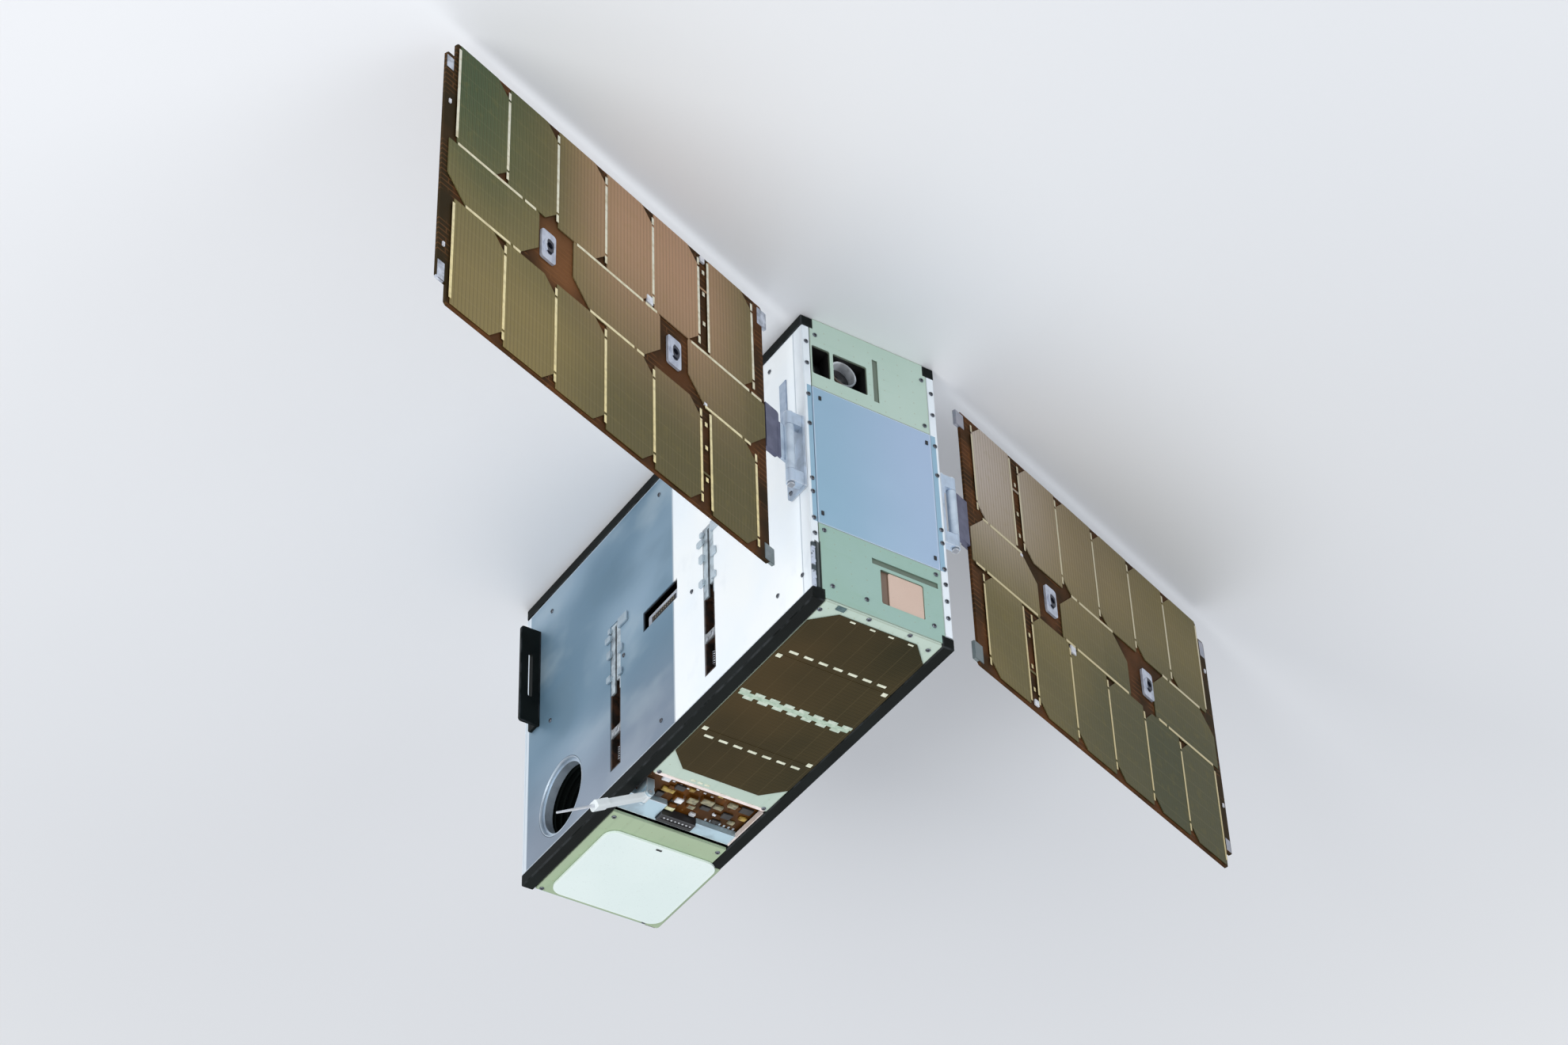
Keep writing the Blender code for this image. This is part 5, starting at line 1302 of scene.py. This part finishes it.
class SATELLITE_OT_add_release_parts(Operator):
    """Add springs, rods and inner strips of the hold-down releases"""

    bl_idname = "satellite.add_release_parts"
    bl_label = "Add release parts"

    def execute(self, context):
        sizes = context.scene.satellite_sizes
        steel = paint_plain("spring_steel", (198, 202, 208), (150, 154, 162), 400, 0.28, 0.8)
        inner = paint_plain("release_inner", (70, 40, 22), (28, 18, 11), 160, 0.45)
        brass = paint_plain("release_brass", (128, 96, 60), (92, 64, 38), 300, 0.35, 0.4)
        coils = []
        strips = []
        studs = []
        nuts = []
        for side, middle in ((side, x) for side in SIDES.values() for x in RELEASE_PLACES.values()):
            depth = side * 0.0446
            coils.append(((middle + 0.0012, depth, 0.1492), UP, ONE))
            coils.append(((middle - 0.0014, depth, 0.1868), UP, ONE))
            strips.append(((middle, side * 0.0374, 0.1755), UP, (0.0105, 0.0012, 0.0560)))
            for x, z in ((-0.0034, 0.1782), (0.0006, 0.1762), (0.0036, 0.1786)):
                nuts.append(((middle + x, side * 0.0491, z), UP, (0.0020, 0.0006, 0.0026)))
            for z in RELEASE_STUDS:
                x = middle + 0.0022 * (-1 if z in FAR_STUDS else 1)
                studs.append(((x, side * 0.0384, z), UP, (0.0026, 0.0014, 0.0034)))
        grow(
            "release_springs", helix_tree(), coils, "bus", "steel_pin", steel, Turns=6.0, Radius=0.0017,
            Height=0.0105, Wire=sizes.coil_wire,
        )
        tree = bar_tree()
        grow("release_strips", tree, strips, "bus", "brown_board", inner)
        grow("release_studs", tree, studs, "bus", "grey_metal", brass)
        grow("release_nuts", tree, nuts, "bus", "grey_metal", steel)
        return {"FINISHED"}


class SATELLITE_OT_add_port_parts(Operator):
    """Add the access port's well and pins, a grey strip beside each hinge and the small marks"""

    bl_idname = "satellite.add_port_parts"
    bl_label = "Add port parts"

    def execute(self, context):
        low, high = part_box("port_connector")
        gold = paint_plain("pin_gold", (150, 138, 112), (112, 98, 74), 500, 0.3, 0.5)
        dark = paint_plain("socket_dark", (16, 16, 18), (30, 30, 34), 300, 0.5)
        tree = bar_tree()
        front = high.y
        middle_z = (low.z + high.z) / 2
        width = high.x - low.x
        well = [(((low.x + high.x) / 2, front + 0.00005, middle_z), UP, (width - 0.008, 0.0003, 0.0042))]
        grow("port_well", tree, well, "bus", "black_plastic", dark)
        # a grey strip on each side panel beside the hinge, a little darker than the white paint
        strip_grey = paint_plain("doubler_grey", (170, 186, 206), (148, 166, 190), 140, 0.36, 0.2)
        bm = bmesh.new()
        for side in (1, -1):
            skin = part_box("skin_left_bus" if side > 0 else "skin_right_bus")
            face = skin[1].y if side > 0 else skin[0].y
            add_block(bm, (0.1476, face + side * 0.0003, 0.0620), (0.0078, 0.0007, 0.0430))
        add_piece("hinge_doublers", mesh_from("hinge_doublers", bm), "bus", [strip_grey])
        pins = []
        count = 11
        for row in (-1, 1):
            for step in range(count):
                x = low.x + 0.0064 + step * (width - 0.0128) / (count - 1)
                pins.append(((x, front + 0.0003, middle_z + row * 0.0009), UP, (0.0008, 0.0006, 0.0008)))
        grow("port_pins", tree, pins, "bus", "steel_pin", gold)

        marks = []
        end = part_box("near_plate_upper")[1].x
        for y, z in ((0.0385, 0.0660), (-0.0405, 0.0660), (-0.0405, 0.1590), (0.0405, 0.1590)):
            marks.append(((end + 0.0002, y, z), UP, (0.0006, 0.0018, 0.0030)))
        teal = paint_plain("edge_block_teal", (74, 104, 106), (48, 74, 80), 300, 0.45)
        block = [((0.1684, 0.0295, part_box("top_board")[1].z + 0.0004), UP, (0.0036, 0.0058, 0.0008))]
        grow("edge_block", tree, block, "bus", "black_plastic", teal)
        marks.append(((-0.0890, -0.0035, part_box("patch_tile")[1].z + 0.0001), UP, (0.0014, 0.0040, 0.0004)))
        grow("end_marks", tree, marks, "bus", "black_plastic", dark)
        return {"FINISHED"}


BACKDROP = (0.80, 0.82, 0.85)
EVEN_LIGHT = (0.93, 0.96, 1.0)
FLOOR_HALF = 6.0
FLOOR_DROP = 0.0002
FLOOR_FADE = (0.4, 1.3)
LAMP_TARGET = Vector((0.0, 0.0, 0.11))
LAMPS = (
    # name, place, width, power's name in the stage, colour
    ("key_lamp", (0.65, 1.85, 1.33), 1.5, "key_power", (1.0, 0.985, 0.96)),
    ("fill_lamp", (1.9, -0.5, 0.8), 1.2, "fill_power", (0.94, 0.97, 1.0)),
    ("top_lamp", (-0.7, -0.5, 2.2), 1.4, "fill_power", (1.0, 1.0, 1.0)),
)
CAMERA_PLACE = Vector((1.44629, 0.94013, 1.49882))
CAMERA_RIGHT = Vector((0.542416, -0.839570, 0.030104)).normalized()
CAMERA_FORWARD = Vector((-0.627779, -0.428877, -0.649583)).normalized()
FOCAL_SHARE = 4396.7 / 1980


class SATELLITE_OT_set_stage(Operator):
    """Set the pale studio, its lamps and the camera"""

    bl_idname = "satellite.set_stage"
    bl_label = "Set stage"

    def execute(self, context):
        stage = context.scene.satellite_stage
        bm = bmesh.new()
        bmesh.ops.create_grid(bm, x_segments=1, y_segments=1, size=FLOOR_HALF)
        bmesh.ops.translate(bm, vec=(0, 0, -FLOOR_DROP), verts=bm.verts[:])
        mesh = bpy.data.meshes.new("floor")
        bm.to_mesh(mesh)
        bm.free()
        floor = bpy.data.objects.new("floor", mesh)
        context.scene.collection.objects.link(floor)
        paint = Paint("floor_pale")
        cloud = paint.noise(3, 2)
        base = paint.mix(cloud.rise(0.3, 0.7) * 0.15, stage.floor, tone(224, 227, 232))
        mesh.materials.append(paint.finish(base_color=base, roughness=0.6 + cloud * 0.1))
        self.fade_floor(paint)

        for name, place, width, power, light in LAMPS:
            self.add_lamp(context, name, place, width, getattr(stage, power), light)
        self.set_world(context, stage.sky_level)
        self.set_camera(context)
        context.scene.view_settings.view_transform = "Standard"
        return {"FINISHED"}

    @staticmethod
    def fade_floor(paint):
        """Let the far floor run out into the pale backdrop, for what the camera sees."""
        away = paint.node("ShaderNodeVectorMath", {"operation": "LENGTH"}, {0: paint.point}, "Value")
        pale = paint.node("ShaderNodeEmission", None, {"Color": BACKDROP, "Strength": 1.0})
        far = away.rise(*FLOOR_FADE) * paint.seen()
        blend = paint.node("ShaderNodeMixShader", None, {0: far, 1: paint.shown, 2: pale})
        output = next(node for node in paint.tree.nodes if node.type == "OUTPUT_MATERIAL")
        paint.feed(output.inputs["Surface"], blend)

    @staticmethod
    def add_lamp(context, name, place, width, power, light):
        lamp = bpy.data.lights.new(name, "AREA")
        lamp.shape = "DISK"
        lamp.size = width
        lamp.energy = power
        lamp.color = light
        item = bpy.data.objects.new(name, lamp)
        item.location = place
        aim = LAMP_TARGET - Vector(place)
        item.rotation_euler = aim.to_track_quat("-Z", "Y").to_euler()
        context.scene.collection.objects.link(item)

    @staticmethod
    def set_world(context, level):
        world = bpy.data.worlds.new("studio")
        context.scene.world = world
        world.use_nodes = True
        sky = Graph(world.node_tree)
        even = sky.node("ShaderNodeBackground", None, {"Color": EVEN_LIGHT, "Strength": level})
        pale = sky.node("ShaderNodeBackground", None, {"Color": BACKDROP, "Strength": 1.0})
        choice = sky.node("ShaderNodeMixShader", None, {0: sky.seen(), 1: even, 2: pale})
        sky.node("ShaderNodeOutputWorld", None, {"Surface": choice})

    @staticmethod
    def set_camera(context):
        """The photograph's view, which shows the satellite turned over."""
        upward = CAMERA_RIGHT.cross(CAMERA_FORWARD)
        camera = bpy.data.cameras.new("camera")
        camera.sensor_width = 36
        camera.sensor_fit = "HORIZONTAL"
        camera.lens = camera.sensor_width * FOCAL_SHARE
        camera.clip_start = 0.05
        camera.clip_end = 50
        item = bpy.data.objects.new("camera", camera)
        axes = Matrix((CAMERA_RIGHT, upward, -CAMERA_FORWARD)).transposed().to_4x4()
        item.matrix_world = Matrix.Translation(CAMERA_PLACE) @ axes
        context.scene.collection.objects.link(item)
        context.scene.camera = item


OPERATORS = (
    SATELLITE_OT_finish_body,
    SATELLITE_OT_finish_top,
    SATELLITE_OT_finish_sensors,
    SATELLITE_OT_finish_wings,
    SATELLITE_OT_add_screws,
    SATELLITE_OT_add_cell_lines,
    SATELLITE_OT_add_wing_parts,
    SATELLITE_OT_add_top_parts,
    SATELLITE_OT_add_release_parts,
    SATELLITE_OT_add_port_parts,
    SATELLITE_OT_set_stage,
)


class SATELLITE_PT_panel(Panel):
    """Satellite sizes, colours and steps"""

    bl_label = "Satellite"
    bl_idname = "SATELLITE_PT_panel"
    bl_space_type = "VIEW_3D"
    bl_region_type = "UI"
    bl_category = "Satellite"

    def draw(self, context):
        for group in (
            context.scene.satellite_sizes, context.scene.satellite_finishes, context.scene.satellite_stage,
        ):
            column = self.layout.column()
            for key in group.__annotations__:
                column.prop(group, key)
        for operator in OPERATORS:
            self.layout.operator(operator.bl_idname)


GROUPS = (SatelliteSizes, SatelliteFinishes, SatelliteStage)


def register():
    for item in GROUPS + OPERATORS + (SATELLITE_PT_panel,):
        bpy.utils.register_class(item)
    bpy.types.Scene.satellite_sizes = PointerProperty(type=SatelliteSizes)
    bpy.types.Scene.satellite_finishes = PointerProperty(type=SatelliteFinishes)
    bpy.types.Scene.satellite_stage = PointerProperty(type=SatelliteStage)


def unregister():
    for name in ("satellite_sizes", "satellite_finishes", "satellite_stage"):
        delattr(bpy.types.Scene, name)
    for item in reversed(GROUPS + OPERATORS + (SATELLITE_PT_panel,)):
        bpy.utils.unregister_class(item)


def main():
    """Build the dressed satellite step by step."""
    register()
    steps = bpy.ops.satellite
    steps.finish_body()
    steps.finish_top()
    steps.finish_sensors()
    steps.finish_wings()
    steps.add_screws()
    steps.add_cell_lines()
    steps.add_wing_parts()
    steps.add_top_parts()
    steps.add_release_parts()
    steps.add_port_parts()
    steps.set_stage()


if __name__ == "__main__":
    main()
